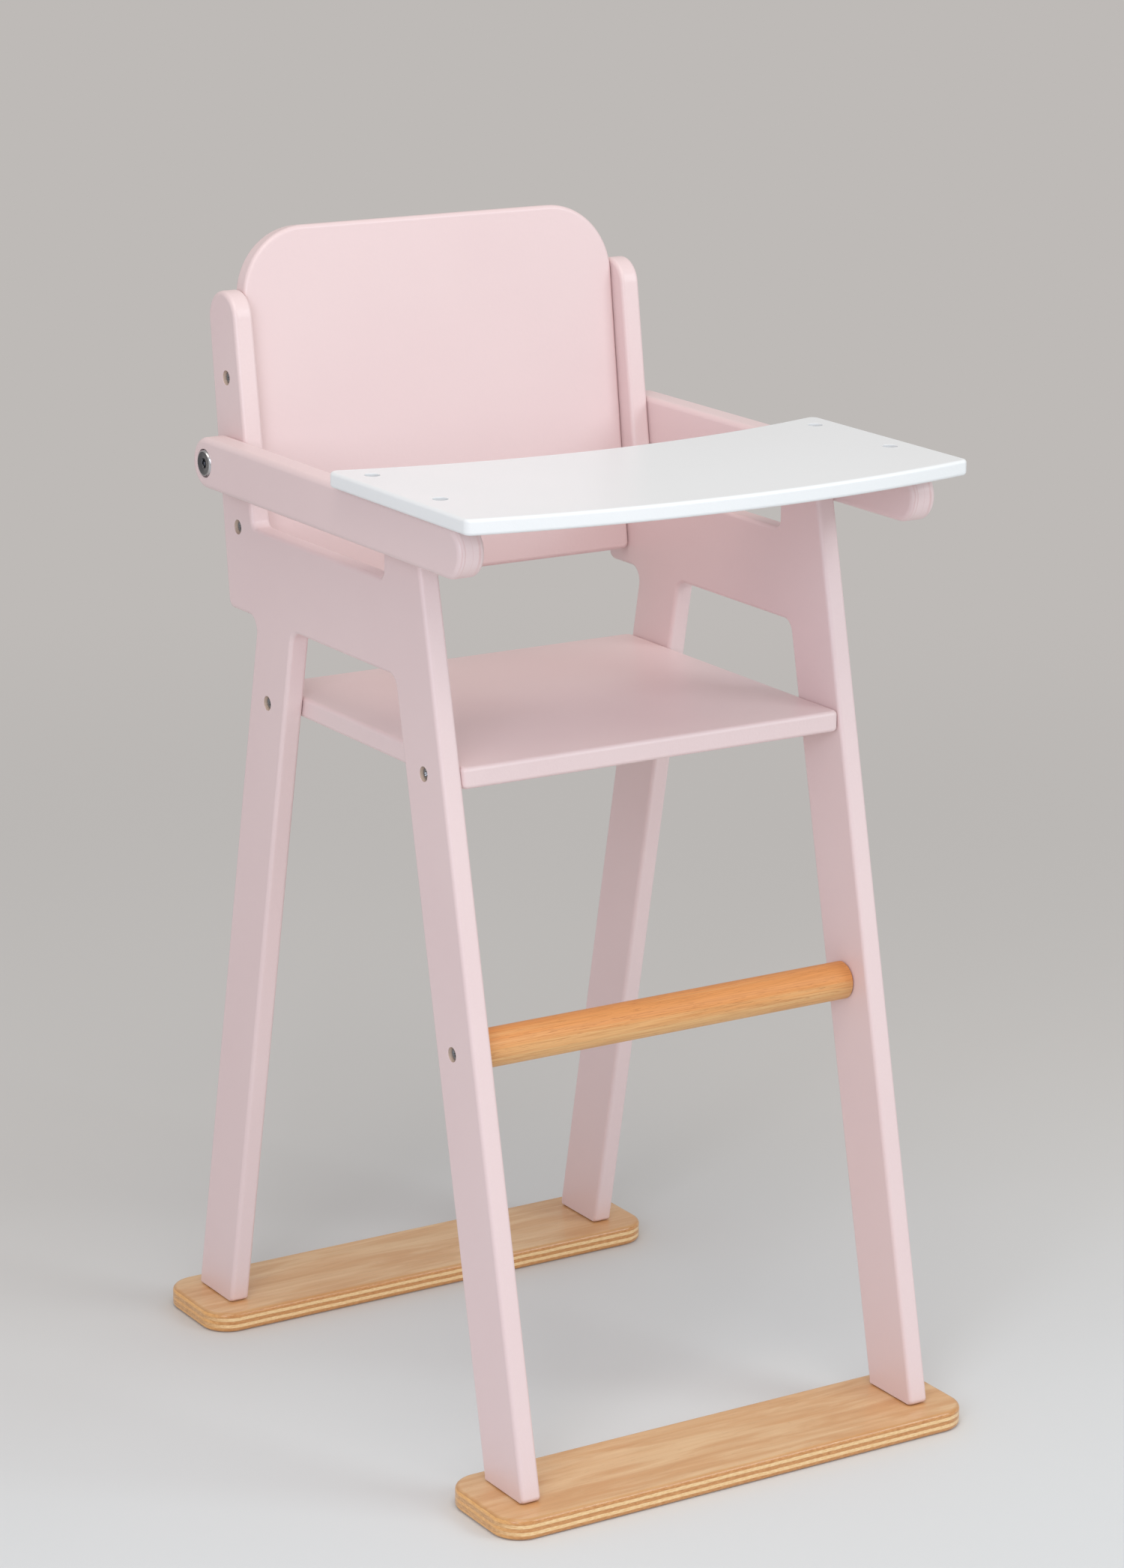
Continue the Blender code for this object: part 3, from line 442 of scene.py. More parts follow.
def turned_hardwood(name):
    """Clear varnished rubberwood rod with its grain along X.

    To the eye: straight fibres, straw below and deeper orange above as painted shade, with fine
    short reddish pore lines that run with the grain, under a thin satin varnish.
    """
    material, tree, shader, where = new_material(name)
    place = add_node(tree, "ShaderNodeSeparateXYZ", {0: where}).outputs
    # Painted shade: the rod turns darker and deeper orange towards its top, lighter straw below,
    # mixed with real tone bands
    above = add_node(tree, "ShaderNodeMapRange", {
        "Value": place["Z"], "From Min": FOOTREST_HEIGHT - FOOTREST_DIAMETER / 4,
        "From Max": FOOTREST_HEIGHT + FOOTREST_DIAMETER / 3, "To Min": -0.22, "To Max": 0.22},
        interpolation_type="SMOOTHSTEP")
    band = grain(tree, where, ROD_BAND, {"Detail": 3.0, "Roughness": 0.6})
    share = add_node(tree, "ShaderNodeMath", {0: above.outputs[0], 1: band},
                     operation="ADD")
    tone = add_node(tree, "ShaderNodeMapRange", {
        "Value": share.outputs[0], "From Min": 0.30, "From Max": 0.70})
    wood = add_node(tree, "ShaderNodeMix", {
        0: tone.outputs[0], 6: linear("#E6B880"), 7: linear("#E1995A")}, data_type="RGBA")

    fibre = grain(tree, where, ROD_FIBRE, {"Detail": 3.0, "Roughness": 0.6})
    fibres = add_node(tree, "ShaderNodeMapRange", {
        "Value": fibre, "From Min": 0.42, "From Max": 0.72,
        "To Min": 0.0, "To Max": 0.62})
    wood = add_node(tree, "ShaderNodeMix", {
        0: fibres.outputs[0], 6: wood.outputs[2], 7: linear("#BC7840")}, data_type="RGBA")

    # Pores, closer together in some bands than in others
    pore = grain(tree, where, ROD_PORE, {"Detail": 1.0, "Roughness": 0.5})
    patch = grain(tree, where, ROD_PATCH, {"Detail": 1.0})
    edge_value = add_node(tree, "ShaderNodeMapRange", {
        "Value": patch, "From Min": 0.3, "From Max": 0.7, "To Min": 0.72, "To Max": 0.62})
    over = add_node(tree, "ShaderNodeMath", {0: pore, 1: edge_value.outputs[0]},
                    operation="SUBTRACT")
    lines = add_node(tree, "ShaderNodeMapRange", {
        "Value": over.outputs[0], "From Min": 0.0, "From Max": 0.07,
        "To Min": 0.0, "To Max": 0.60}, interpolation_type="SMOOTHSTEP")
    wood = add_node(tree, "ShaderNodeMix", {
        0: lines.outputs[0], 6: wood.outputs[2], 7: linear("#A05E30")}, data_type="RGBA")
    tree.links.new(wood.outputs[2], shader.inputs["Base Color"])
    bump = add_node(tree, "ShaderNodeBump", {
        "Height": lines.outputs[0], "Strength": 0.35, "Distance": ROD_RELIEF}, invert=True)
    tree.links.new(bump.outputs[0], shader.inputs["Normal"])
    shader.inputs["Roughness"].default_value = 0.52
    shader.inputs["Specular IOR Level"].default_value = 0.32
    shader.inputs["Coat Weight"].default_value = 0.04
    shader.inputs["Coat Roughness"].default_value = 0.28
    return material


# Metals

DULL_PATCH = 0.0018
TURNING_MARK = 0.0003
STEEL_RELIEF = 0.00003


def plated_steel(name, colour, roughness, painted_highlight_colour=None):
    """Machined steel with a thin plating, and on a bolt's head a painted highlight on its rim.

    To the eye: a mirror dulled by fine turning marks, with small patches where it is duller.
    A rim, where there is one, gets a brighter base colour as a painted highlight, and a softer
    gloss.
    """
    material, tree, shader, where = new_material(name)
    haze = add_node(tree, "ShaderNodeTexNoise", {
        "Vector": where, "Scale": 1 / DULL_PATCH, "Detail": 3.0, "Roughness": 0.6})
    gloss = add_node(tree, "ShaderNodeMapRange", {
        "Value": haze.outputs[0], "From Min": 0.3, "From Max": 0.7,
        "To Min": roughness - 0.05, "To Max": roughness + 0.10})
    # Painted highlight: the rim's base colour is lighter than the face's
    if painted_highlight_colour:
        from_pivot = add_node(tree, "ShaderNodeVectorMath", {
            0: where, 1: (0, PIVOT_Y, PIVOT_Z)}, operation="SUBTRACT")
        across = add_node(tree, "ShaderNodeVectorMath", {
            0: from_pivot.outputs[0], 1: (0, 1, 1)}, operation="MULTIPLY")
        off_axis = add_node(tree, "ShaderNodeVectorMath", {0: across.outputs[0]},
                            operation="LENGTH")
        rim_start = BOLT_HEAD_DIAMETER / 2 - BOLT_HEAD_RADIUS
        rim = add_node(tree, "ShaderNodeMapRange", {
            "Value": off_axis.outputs["Value"], "From Min": rim_start,
            "From Max": rim_start + BOLT_HEAD_RADIUS / 8})
        tone = add_node(tree, "ShaderNodeMix", {
            0: rim.outputs[0], 6: linear(colour), 7: linear(painted_highlight_colour)}, data_type="RGBA")
        tree.links.new(tone.outputs[2], shader.inputs["Base Color"])
        gloss = add_node(tree, "ShaderNodeMath", {
            0: rim.outputs[0], 1: 0.10, 2: gloss.outputs[0]}, operation="MULTIPLY_ADD")
    tree.links.new(gloss.outputs[0], shader.inputs["Roughness"])
    scratch = add_node(tree, "ShaderNodeTexNoise", {
        "Vector": where, "Scale": 1 / TURNING_MARK, "Detail": 2.0})
    bump = add_node(tree, "ShaderNodeBump", {
        "Height": scratch.outputs[0], "Strength": 0.2, "Distance": STEEL_RELIEF})
    tree.links.new(bump.outputs[0], shader.inputs["Normal"])
    shader.inputs["Base Color"].default_value = linear(colour)
    shader.inputs["Metallic"].default_value = 1.0
    return material


PINK = sprayed_paint("pink_satin_lacquer_on_fibreboard", "#E9D1D0", "#E5CBCB", 0.38)
PINK_ARM = sprayed_paint("pink_satin_lacquer_on_layered_wood", "#E9D1D0", "#E5CBCB", 0.38,
                         "#C9938E")
WHITE = sprayed_paint("white_satin_lacquer_on_fibreboard", "#EFF0F1", "#ECEDEE", 0.32)
PLYWOOD = birch_plywood("varnished_birch_plywood")
DOWEL = turned_hardwood("varnished_rubberwood_rod")
SCREW_STEEL = plated_steel("zinc_plated_screw_steel", "#8E8F93", 0.18)
# The bolt's dark base colour is a painted dark reflection in its face, and its pale rim colour a
# painted highlight
BOLT_STEEL = plated_steel("plated_bolt_steel_painted_reflection", "#6A6B6F", 0.13, "#C6C7CA")


# Outlines, as (point, outward normal) pairs that run anticlockwise

def rounded_loop(corners):
    """Round each (point, radius) corner of an outline, and give each point its normal."""
    loop = []
    for index, (corner, radius) in enumerate(corners):
        before = (corners[index - 1][0] - corner).normalized()
        after = (corners[(index + 1) % len(corners)][0] - corner).normalized()
        if radius == 0:
            along = (after - before).normalized()
            loop.append((corner, Vector((along.y, -along.x))))
            continue
        half_angle = before.angle(after) / 2
        centre = corner + (before + after).normalized() * radius / math.sin(half_angle)
        start = corner + before * radius / math.tan(half_angle) - centre
        end = corner + after * radius / math.tan(half_angle) - centre
        sweep = -start.angle_signed(end)
        steps = max(2, math.ceil(abs(sweep) / ARC_STEP))
        way = math.copysign(1, sweep)
        for step in range(steps + 1):
            offset = Matrix.Rotation(sweep * step / steps, 2) @ start
            loop.append((centre + offset, offset.normalized() * way))
    return [item for index, item in enumerate(loop)
            if (item[0] - loop[index - 1][0]).length > FIT_GAP / 10]


def rectangle_loop(width, length, radii):
    """Return a rectangle about the origin, with radii from the lower left corner round."""
    x = width / 2
    y = length / 2
    places = (Vector((-x, -y)), Vector((x, -y)), Vector((x, y)), Vector((-x, y)))
    return rounded_loop(list(zip(places, radii)))


def upright_top_radius():
    """Radius of the round top that touches both edges of the upright and its full height."""
    back = BACK_LEAN - UPRIGHT_TAPER
    front = BACK_LEAN + UPRIGHT_TAPER
    narrowing = math.tan(front) - math.tan(back)
    width = UPRIGHT_WIDTH - narrowing * (UPRIGHT_HEIGHT - RECESS_HEIGHT)
    return width / (1 / math.cos(back) + 1 / math.cos(front) - narrowing)


def side_panel_loop():
    """Return the side panel's outline as (Y, Z) points."""
    post_back = front_leg_front(ARM_TOP) + POST_WIDTH
    top = upright_top_radius()
    foot = FOOT_HEIGHT
    under = UNDERSIDE_HEIGHT
    corners = (
        (front_leg_front(foot), foot, LEG_CORNER_RADIUS),
        (front_leg_front(foot) + LEG_WIDTH, foot, LEG_CORNER_RADIUS),
        (front_leg_front(under) + LEG_WIDTH, under, ARCH_RADIUS),
        (rear_leg_front(under), under, ARCH_RADIUS),
        (rear_leg_front(foot), foot, LEG_CORNER_RADIUS),
        (rear_leg_front(foot) + LEG_WIDTH, foot, LEG_CORNER_RADIUS),
        (rear_leg_front(under) + LEG_WIDTH, under, STEP_HOLLOW_RADIUS),
        (upright_back(under), under, STEP_CORNER_RADIUS),
        (upright_back(UPRIGHT_HEIGHT), UPRIGHT_HEIGHT, top),
        (upright_front(UPRIGHT_HEIGHT), UPRIGHT_HEIGHT, top),
        (upright_front(RECESS_HEIGHT), RECESS_HEIGHT, RECESS_RADIUS),
        (post_back, RECESS_HEIGHT, RECESS_RADIUS),
        (post_back, ARM_TOP, POST_CORNER_RADIUS),
        (front_leg_front(ARM_TOP), ARM_TOP, POST_CORNER_RADIUS),
    )
    return rounded_loop([(Vector((y, z)), radius) for y, z, radius in corners])


def bowed_edge(bow, level):
    """Return the points between the ends of an arc that sinks by bow in its middle."""
    radius = (TRAY_HALF_WIDTH ** 2 + bow ** 2) / (2 * bow)
    reach = math.asin(TRAY_HALF_WIDTH / radius)
    points = []
    for step in range(1, BOW_STEPS):
        angle = reach * (2 * step / BOW_STEPS - 1)
        y = level - radius * math.cos(angle) + radius - bow
        points.append((Vector((radius * math.sin(angle), y)), 0))
    return points


def tray_loop():
    """Return the tray's outline as (X, Y) points, seen from above."""
    x = TRAY_HALF_WIDTH
    rear_y = TRAY_FRONT_Y + TRAY_SIDE_LENGTH
    corners = [(Vector((-x, TRAY_FRONT_Y)), TRAY_CORNER_RADIUS)]
    corners += bowed_edge(TRAY_FRONT_BOW, TRAY_FRONT_Y)
    corners += [(Vector((x, TRAY_FRONT_Y)), TRAY_CORNER_RADIUS)]
    corners += [(Vector((x, rear_y)), TRAY_CORNER_RADIUS)]
    corners += reversed(bowed_edge(TRAY_REAR_BOW, rear_y))
    corners += [(Vector((-x, rear_y)), TRAY_CORNER_RADIUS)]
    return rounded_loop(corners)


# Solids with exact normals

# How far a spot is on a board's edge, on its short end and unpainted, and its depth in metres
MARKS = ("side", "end", "bare", "depth")
FACE = (0.0, 0.0, 0.0, 0.0)
BARE = (0.0, 0.0, 1.0, 0.0)


class Shell:
    """A closed mesh under way: points, faces, and the normal and marks at each face corner."""

    def __init__(self):
        self.points = []
        self.faces = []
        self.normals = []
        self.marks = []
        self.smooth = []

    def add_ring(self, points):
        """Add points and return their numbers."""
        first = len(self.points)
        self.points += [Vector(point) for point in points]
        return list(range(first, len(self.points)))

    def add_face(self, corners, normals, marks, smooth=True):
        """Add a face, turned so that it faces along its normals."""
        a, b, c = (self.points[corner] for corner in corners[:3])
        if (b - a).cross(c - a).dot(sum(normals, Vector((0, 0, 0)))) < 0:
            corners, normals, marks = corners[::-1], normals[::-1], marks[::-1]
        self.faces.append(corners)
        self.normals += normals
        self.marks += marks
        self.smooth.append(smooth)

    def add_flat(self, corners, normal, mark=FACE):
        """Add a flat face with the same normal and marks at every corner."""
        self.add_face(corners, [normal] * len(corners), [mark] * len(corners), smooth=False)

    def add_band(self, low, high):
        """Join two rings of (numbers, normals, marks) with a band of faces."""
        count = len(low[0])
        for here in range(count):
            there = (here + 1) % count
            picks = [(low, here), (low, there), (high, there), (high, here)]
            self.add_face(*([ring[part][place] for ring, place in picks] for part in range(3)))

    def finish(self, name, place, material):
        """Turn the shell into an object with its place in its mesh."""
        turn = place.to_3x3()
        mesh = bpy.data.meshes.new(name)
        mesh.from_pydata([place @ point for point in self.points], [], self.faces)
        mesh.polygons.foreach_set("use_smooth", self.smooth)
        for index, label in enumerate(MARKS):
            layer = mesh.attributes.new(label, "FLOAT", "CORNER")
            layer.data.foreach_set("value", [mark[index] for mark in self.marks])
        mesh.normals_split_custom_set([turn @ normal for normal in self.normals])
        mesh.materials.append(material)
        item = bpy.data.objects.new(name, mesh)
        bpy.context.scene.collection.objects.link(item)
        return item


def circle(x, y, z, radius):
    """Return the points of a circle, and the unit vectors from its centre to them."""
    angles = [2 * math.pi * step / HOLE_STEPS for step in range(HOLE_STEPS)]
    rays = [Vector((math.cos(angle), math.sin(angle), 0)) for angle in angles]
    return [Vector((x, y, z)) + ray * radius for ray in rays], rays


def add_hole(shell, hole, half_thick):
    """Add a stepped hole's walls, and return its loops in the two faces, or None."""
    x, y, face, steps, wall, through = hole
    level = face * half_thick
    up = Vector((0, 0, face))
    upward = [up] * HOLE_STEPS
    walls = [wall] * HOLE_STEPS
    mouth = None
    last = None
    for turn in range(MOUTH_STEPS + 1):
        angle = math.pi / 2 * turn / MOUTH_STEPS
        radius = steps[0][0] + MOUTH_RADIUS * (1 - math.sin(angle))
        depth = MOUTH_RADIUS * (1 - math.cos(angle))
        points, rays = circle(x, y, level - face * depth, radius)
        numbers = shell.add_ring(points)
        normals = [up * math.cos(angle) - ray * math.sin(angle) for ray in rays]
        ring = (numbers, normals, [FACE] * HOLE_STEPS)
        if last:
            shell.add_band(last, ring)
        mouth = mouth or numbers
        last = ring
    for index, (radius, depth) in enumerate(steps):
        points, rays = circle(x, y, level - face * depth, radius)
        numbers = shell.add_ring(points)
        inward = [-ray for ray in rays]
        shell.add_band((last[0], inward, walls), (numbers, inward, walls))
        if index + 1 < len(steps):
            points, rays = circle(x, y, level - face * depth, steps[index + 1][0])
            inner = shell.add_ring(points)
            shell.add_band((numbers, upward, walls), (inner, upward, walls))
            numbers = inner
        last = (numbers,)
    if through:
        return (mouth, last[0]) if face > 0 else (last[0], mouth)
    shell.add_flat(last[0], up, wall)
    return (mouth, None) if face > 0 else (None, mouth)


def board(name, loop, thick, edge_radius, place, material, holes=(), shares=None):
    """Make a board from an outline in its own XY plane, with round edges and holes.

    Shares give, for each point of the outline, how much of the edge radius is left there in
    the outline's plane, so that the rounding is part of an ellipse.
    """
    shell = Shell()
    radii = [edge_radius * share for share in shares or [1.0] * len(loop)]
    half = thick / 2
    rows = []
    angles = [math.pi / 2 * step / RIM_STEPS for step in range(RIM_STEPS + 1)]
    for way, run in ((-1, angles[::-1]), (1, angles)):
        for angle in run:
            z = way * (half - edge_radius + edge_radius * math.sin(angle))
            points = [(*(point - normal * radius * (1 - math.cos(angle))), z)
                      for (point, normal), radius in zip(loop, radii)]
            normals = [Vector((*(normal * edge_radius * math.cos(angle)),
                               way * radius * math.sin(angle))).normalized()
                       for (point, normal), radius in zip(loop, radii)]
            marks = [(math.cos(angle), abs(normal.x) ** 3, 0.0, z) for point, normal in loop]
            rows.append((shell.add_ring(points), normals, marks))
    for low, high in zip(rows, rows[1:]):
        shell.add_band(low, high)
    cuts = [add_hole(shell, hole, half) for hole in holes]
    for side, ring in ((0, rows[-1][0]), (1, rows[0][0])):
        loops = [ring] + [cut[side] for cut in cuts if cut[side]]
        numbers = [number for one in loops for number in one]
        up = Vector((0, 0, 1 - 2 * side))
        shapes = [[shell.points[number] for number in one] for one in loops]
        for triangle in tessellate_polygon(shapes):
            shell.add_flat([numbers[corner] for corner in triangle], up)
    return shell.finish(name, place, material)


def turned(name, profile, steps, place, material):
    """Turn a profile about Z: (radius, height, radial normal, axial normal) at each end."""
    shell = Shell()
    marks = [FACE] * steps
    angles = [2 * math.pi * step / steps for step in range(steps)]
    rays = [Vector((math.cos(angle), math.sin(angle), 0)) for angle in angles]
    last = None
    for radius, height, *directions in profile:
        numbers = shell.add_ring([ray * radius + Vector((0, 0, height)) for ray in rays])
        if last:
            radial, axial = directions[0]
            normals = [(ray * radial + Vector((0, 0, axial))).normalized() for ray in rays]
            shell.add_band((last[0], last[1], marks), (numbers, normals, marks))
        radial, axial = directions[-1]
        normals = [(ray * radial + Vector((0, 0, axial))).normalized() for ray in rays]
        last = (numbers, normals)
        if len(shell.points) == steps:
            shell.add_flat(numbers, Vector((0, 0, -1)))
    shell.add_flat(last[0], Vector((0, 0, 1)))
    return shell.finish(name, place, material)


# Pieces

SCREW_HOLE = ((COUNTERBORE_DIAMETER / 2, COUNTERBORE_DEPTH),
              (SCREW_DIAMETER / 2 + FIT_GAP, PANEL_THICK))
INSERT_HOLE = ((INSERT_DIAMETER / 2 + FIT_GAP, INSERT_LENGTH + FIT_GAP),)
PIVOT_HOLE = ((BOLT_HEAD_DIAMETER / 2 + FIT_GAP, BOLT_HEAD_SINK),
              (BOLT_DIAMETER / 2 + FIT_GAP, ARM_THICK))
TRAY_HOLE = ((COUNTERBORE_DIAMETER / 2, COUNTERBORE_DEPTH),
             (SCREW_DIAMETER / 2 + FIT_GAP, TRAY_THICK))
UPRIGHT_TURN = Matrix.Rotation(math.pi / 2, 4, "Z") @ Matrix.Rotation(math.pi / 2, 4, "X")

SIDE_SCREW_PLACES = [(upright_middle(PIVOT_Z + rise), PIVOT_Z + rise)
                     for rise in BACKREST_SCREW_RISES]
SIDE_SCREW_PLACES += [(SEAT_FRONT_Y + LEG_WIDTH / 2, SEAT_MIDDLE),
                      (SEAT_BACK_Y - LEG_WIDTH / 2, SEAT_MIDDLE),
                      (FOOTREST_Y, FOOTREST_HEIGHT)]
FOOT_SCREW_XS = [side * (HALF_WIDTH - PANEL_THICK / 2) for side in SIDES.values()]
FOOT_SCREW_STEPS = (-FOOT_SCREW_SPACING / 2, FOOT_SCREW_SPACING / 2)
TRAY_SCREW_PLACES = [(side * (ARM_INNER_X + ARM_THICK / 2), TRAY_SCREW_Y + shift)
                     for side in SIDES.values() for shift in (0, TRAY_SCREW_SPACING)]


def side_panel(hand, side):
    """Make one side panel: legs, front post, recess and round-topped upright."""
    holes = [(y, z, side, SCREW_HOLE, BARE, True) for y, z in SIDE_SCREW_PLACES]
    holes.append((PIVOT_Y, PIVOT_Z, side, INSERT_HOLE, BARE, False))
    place = Matrix.Translation((side * (HALF_WIDTH - PANEL_THICK / 2), 0, 0)) @ UPRIGHT_TURN
    loop = side_panel_loop()
    shares = [1 - (1 - LEG_EDGE_SHARE) * max(0.0, -normal.y) ** 2
              if point.y < FOOT_HEIGHT + LEG_CORNER_RADIUS else 1.0 for point, normal in loop]
    item = board("side_board_" + hand, loop, PANEL_THICK, PANEL_EDGE_RADIUS, place, PINK,
                 holes, shares)
    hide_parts("side_panel_" + hand)
    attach(item, "chair")


def seat():
    """Make the seat board between the legs."""
    loop = rectangle_loop(2 * (INNER_HALF_WIDTH - FIT_GAP), SEAT_BACK_Y - SEAT_FRONT_Y,
                          [SEAT_CORNER_RADIUS] * 4)
    place = Matrix.Translation((0, (SEAT_FRONT_Y + SEAT_BACK_Y) / 2, SEAT_MIDDLE))
    item = board("seat_board", loop, SEAT_THICK, SEAT_EDGE_RADIUS, place, PINK)
    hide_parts("seat")
    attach(item, "chair")


def backrest():
    """Make the leaning backrest with its wide round top corners."""
    rise = BACKREST_HEIGHT - BACKREST_THICK / 2 * math.sin(BACK_LEAN)
    middle = OVERALL_HEIGHT - BACKREST_HEIGHT + rise / 2
    radii = (BACKREST_BOTTOM_RADIUS, BACKREST_BOTTOM_RADIUS,
             BACKREST_TOP_RADIUS, BACKREST_TOP_RADIUS)
    loop = rectangle_loop(2 * (INNER_HALF_WIDTH - FIT_GAP), rise / math.cos(BACK_LEAN), radii)
    place = (Matrix.Translation((0, upright_middle(middle), middle))
             @ Matrix.Rotation(math.pi / 2 - BACK_LEAN, 4, "X"))
    item = board("backrest_board", loop, BACKREST_THICK, BACKREST_EDGE_RADIUS, place, PINK)
    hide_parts("backrest")
    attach(item, "chair")


def footrest():
    """Make the round wooden footrest."""
    radius = FOOTREST_DIAMETER / 2
    half = INNER_HALF_WIDTH - FIT_GAP
    nose = radius - FOOTREST_CHAMFER
    profile = (
        (nose, -half, (1, -1)),
        (radius, FOOTREST_CHAMFER - half, (1, -0.6), (1, 0)),
        (radius, half - FOOTREST_CHAMFER, (1, 0), (1, 0.6)),
        (nose, half, (1, 1)),
    )
    place = (Matrix.Translation((0, FOOTREST_Y, FOOTREST_HEIGHT))
             @ Matrix.Rotation(math.pi / 2, 4, "Y"))
    item = turned("footrest_rod", profile, ROD_STEPS, place, DOWEL)
    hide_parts("footrest_bar")
    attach(item, "chair")


def foot_board(end, way, foot_y):
    """Make one plywood foot board, with its screw holes in the underside."""
    middle_y = way * (BASE_LENGTH - BOARD_DEPTH) / 2
    loop = rectangle_loop(BOARD_LENGTH, BOARD_DEPTH, [BOARD_CORNER_RADIUS] * 4)
    holes = [(x, foot_y + LEG_WIDTH / 2 + step - middle_y, -1, SCREW_HOLE, BARE, True)
             for x in FOOT_SCREW_XS for step in FOOT_SCREW_STEPS]
    place = Matrix.Translation((0, middle_y, BOARD_THICK / 2))
    item = board("plywood_foot_" + end, loop, BOARD_THICK, BOARD_EDGE_RADIUS, place,
                 PLYWOOD, holes)
    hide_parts("foot_board_" + end)
    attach(item, "chair")


def tray():
    """Make the tray with its bulging front edge and hollowed rear edge."""
    holes = [(x, y, 1, TRAY_HOLE, FACE, True) for x, y in TRAY_SCREW_PLACES]
    place = Matrix.Translation((0, 0, TRAY_HEIGHT - TRAY_THICK / 2))
    item = board("tray_board", tray_loop(), TRAY_THICK, TRAY_EDGE_RADIUS, place, WHITE, holes)
    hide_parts("tray")
    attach(item, "tray_and_arms")


def arm(hand, side):
    """Make one arm, with its pivot hole."""
    radius = ARM_DEPTH / 2
    length = ARM_REACH + radius
    loop = rectangle_loop(length, ARM_DEPTH, [radius] * 4)
    middle_y = ARM_FRONT_Y + length / 2
    place = (Matrix.Translation((side * (ARM_INNER_X + ARM_THICK / 2), middle_y, PIVOT_Z))
             @ UPRIGHT_TURN)
    hole = (PIVOT_Y - middle_y, 0, side, PIVOT_HOLE, FACE, True)
    item = board("arm_bar_" + hand, loop, ARM_THICK, ARM_EDGE_RADIUS, place, PINK_ARM,
                 [hole])
    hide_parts("arm_" + hand)
    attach(item, "tray_and_arms")


def socket_tool(width, depth, top):
    """Return a six-sided tool that reaches down by depth from a level."""
    bm = bmesh.new()
    across = width / math.cos(math.pi / 6)
    bmesh.ops.create_cone(bm, cap_ends=True, segments=6, radius1=across / 2,
                          radius2=across / 2, depth=2 * depth)
    bmesh.ops.translate(bm, verts=bm.verts, vec=(0, 0, top))
    mesh = bpy.data.meshes.new("socket_tool")
    bm.to_mesh(mesh)
    bm.free()
    item = bpy.data.objects.new("socket_tool", mesh)
    bpy.context.scene.collection.objects.link(item)
    return item


def carved(item, tool):
    """Take a tool's volume out of a piece for good, and remove the tool."""
    modifier = item.modifiers.new("carve", "BOOLEAN")
    modifier.object = tool
    graph = bpy.context.evaluated_depsgraph_get()
    item.data = bpy.data.meshes.new_from_object(item.evaluated_get(graph))
    item.modifiers.clear()
    bpy.data.objects.remove(tool, do_unlink=True)
    item.data.set_sharp_from_angle(angle=SHARP_ANGLE)
    return item


RIM_NORMAL = (0.83, 0.56)     # the bolt head's rim is bevelled, and so catches the light
RIM_SOFT = 0.00008
RIM_DEPTH = BOLT_HEAD_RADIUS - RIM_SOFT
SCREW_HEAD_RADIUS = 0.0005
CROSS_FLOOR_SHARE = 0.62      # the cross narrows from its mouth to its floor
CROSS_MOUTH_SHARE = 1.1


def pivot_bolt(hand, side):
    """Make one pivot bolt: a low round head with a bevelled rim and a hexagon socket."""
    shank = BOLT_DIAMETER / 2
    head = BOLT_HEAD_DIAMETER / 2
    ring = SOCKET_RING_DIAMETER / 2
    profile = [
        (shank - BOLT_CHAMFER, -BOLT_LENGTH, (1, -1)),
        (shank, BOLT_CHAMFER - BOLT_LENGTH, (1, -1), (1, 0)),
        (shank, 0, (1, 0), (0, -1)),
        (head, 0, (0, -1), (1, 0)),
        (head, BOLT_HEAD_THICK - BOLT_HEAD_RADIUS, (1, 0), RIM_NORMAL),
        (head - RIM_DEPTH * RIM_NORMAL[1] / RIM_NORMAL[0], BOLT_HEAD_THICK - RIM_SOFT,
         RIM_NORMAL),
        (head - BOLT_HEAD_RADIUS, BOLT_HEAD_THICK, (0, 1)),
        (ring, BOLT_HEAD_THICK, (0, 1), (-1, 1)),
        (SOCKET_WIDTH / 2 + FIT_GAP, BOLT_HEAD_THICK - SOCKET_RING_DEPTH, (-1, 1), (0, 1)),
        (SOCKET_WIDTH / 4, BOLT_HEAD_THICK - SOCKET_RING_DEPTH, (0, 1)),
    ]
    item = turned("pivot_bolt_head_" + hand, profile, BOLT_STEPS, Matrix.Identity(4),
                  BOLT_STEEL)
    carved(item, socket_tool(SOCKET_WIDTH, SOCKET_DEPTH, BOLT_HEAD_THICK))
    face = side * (ARM_OUTER_X + FIT_GAP - BOLT_HEAD_SINK)
    item.data.transform(Matrix.Translation((face, PIVOT_Y, PIVOT_Z))
                        @ Matrix.Rotation(side * math.pi / 2, 4, "Y"))
    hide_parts("pivot_bolt_" + hand)
    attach(item, "chair")


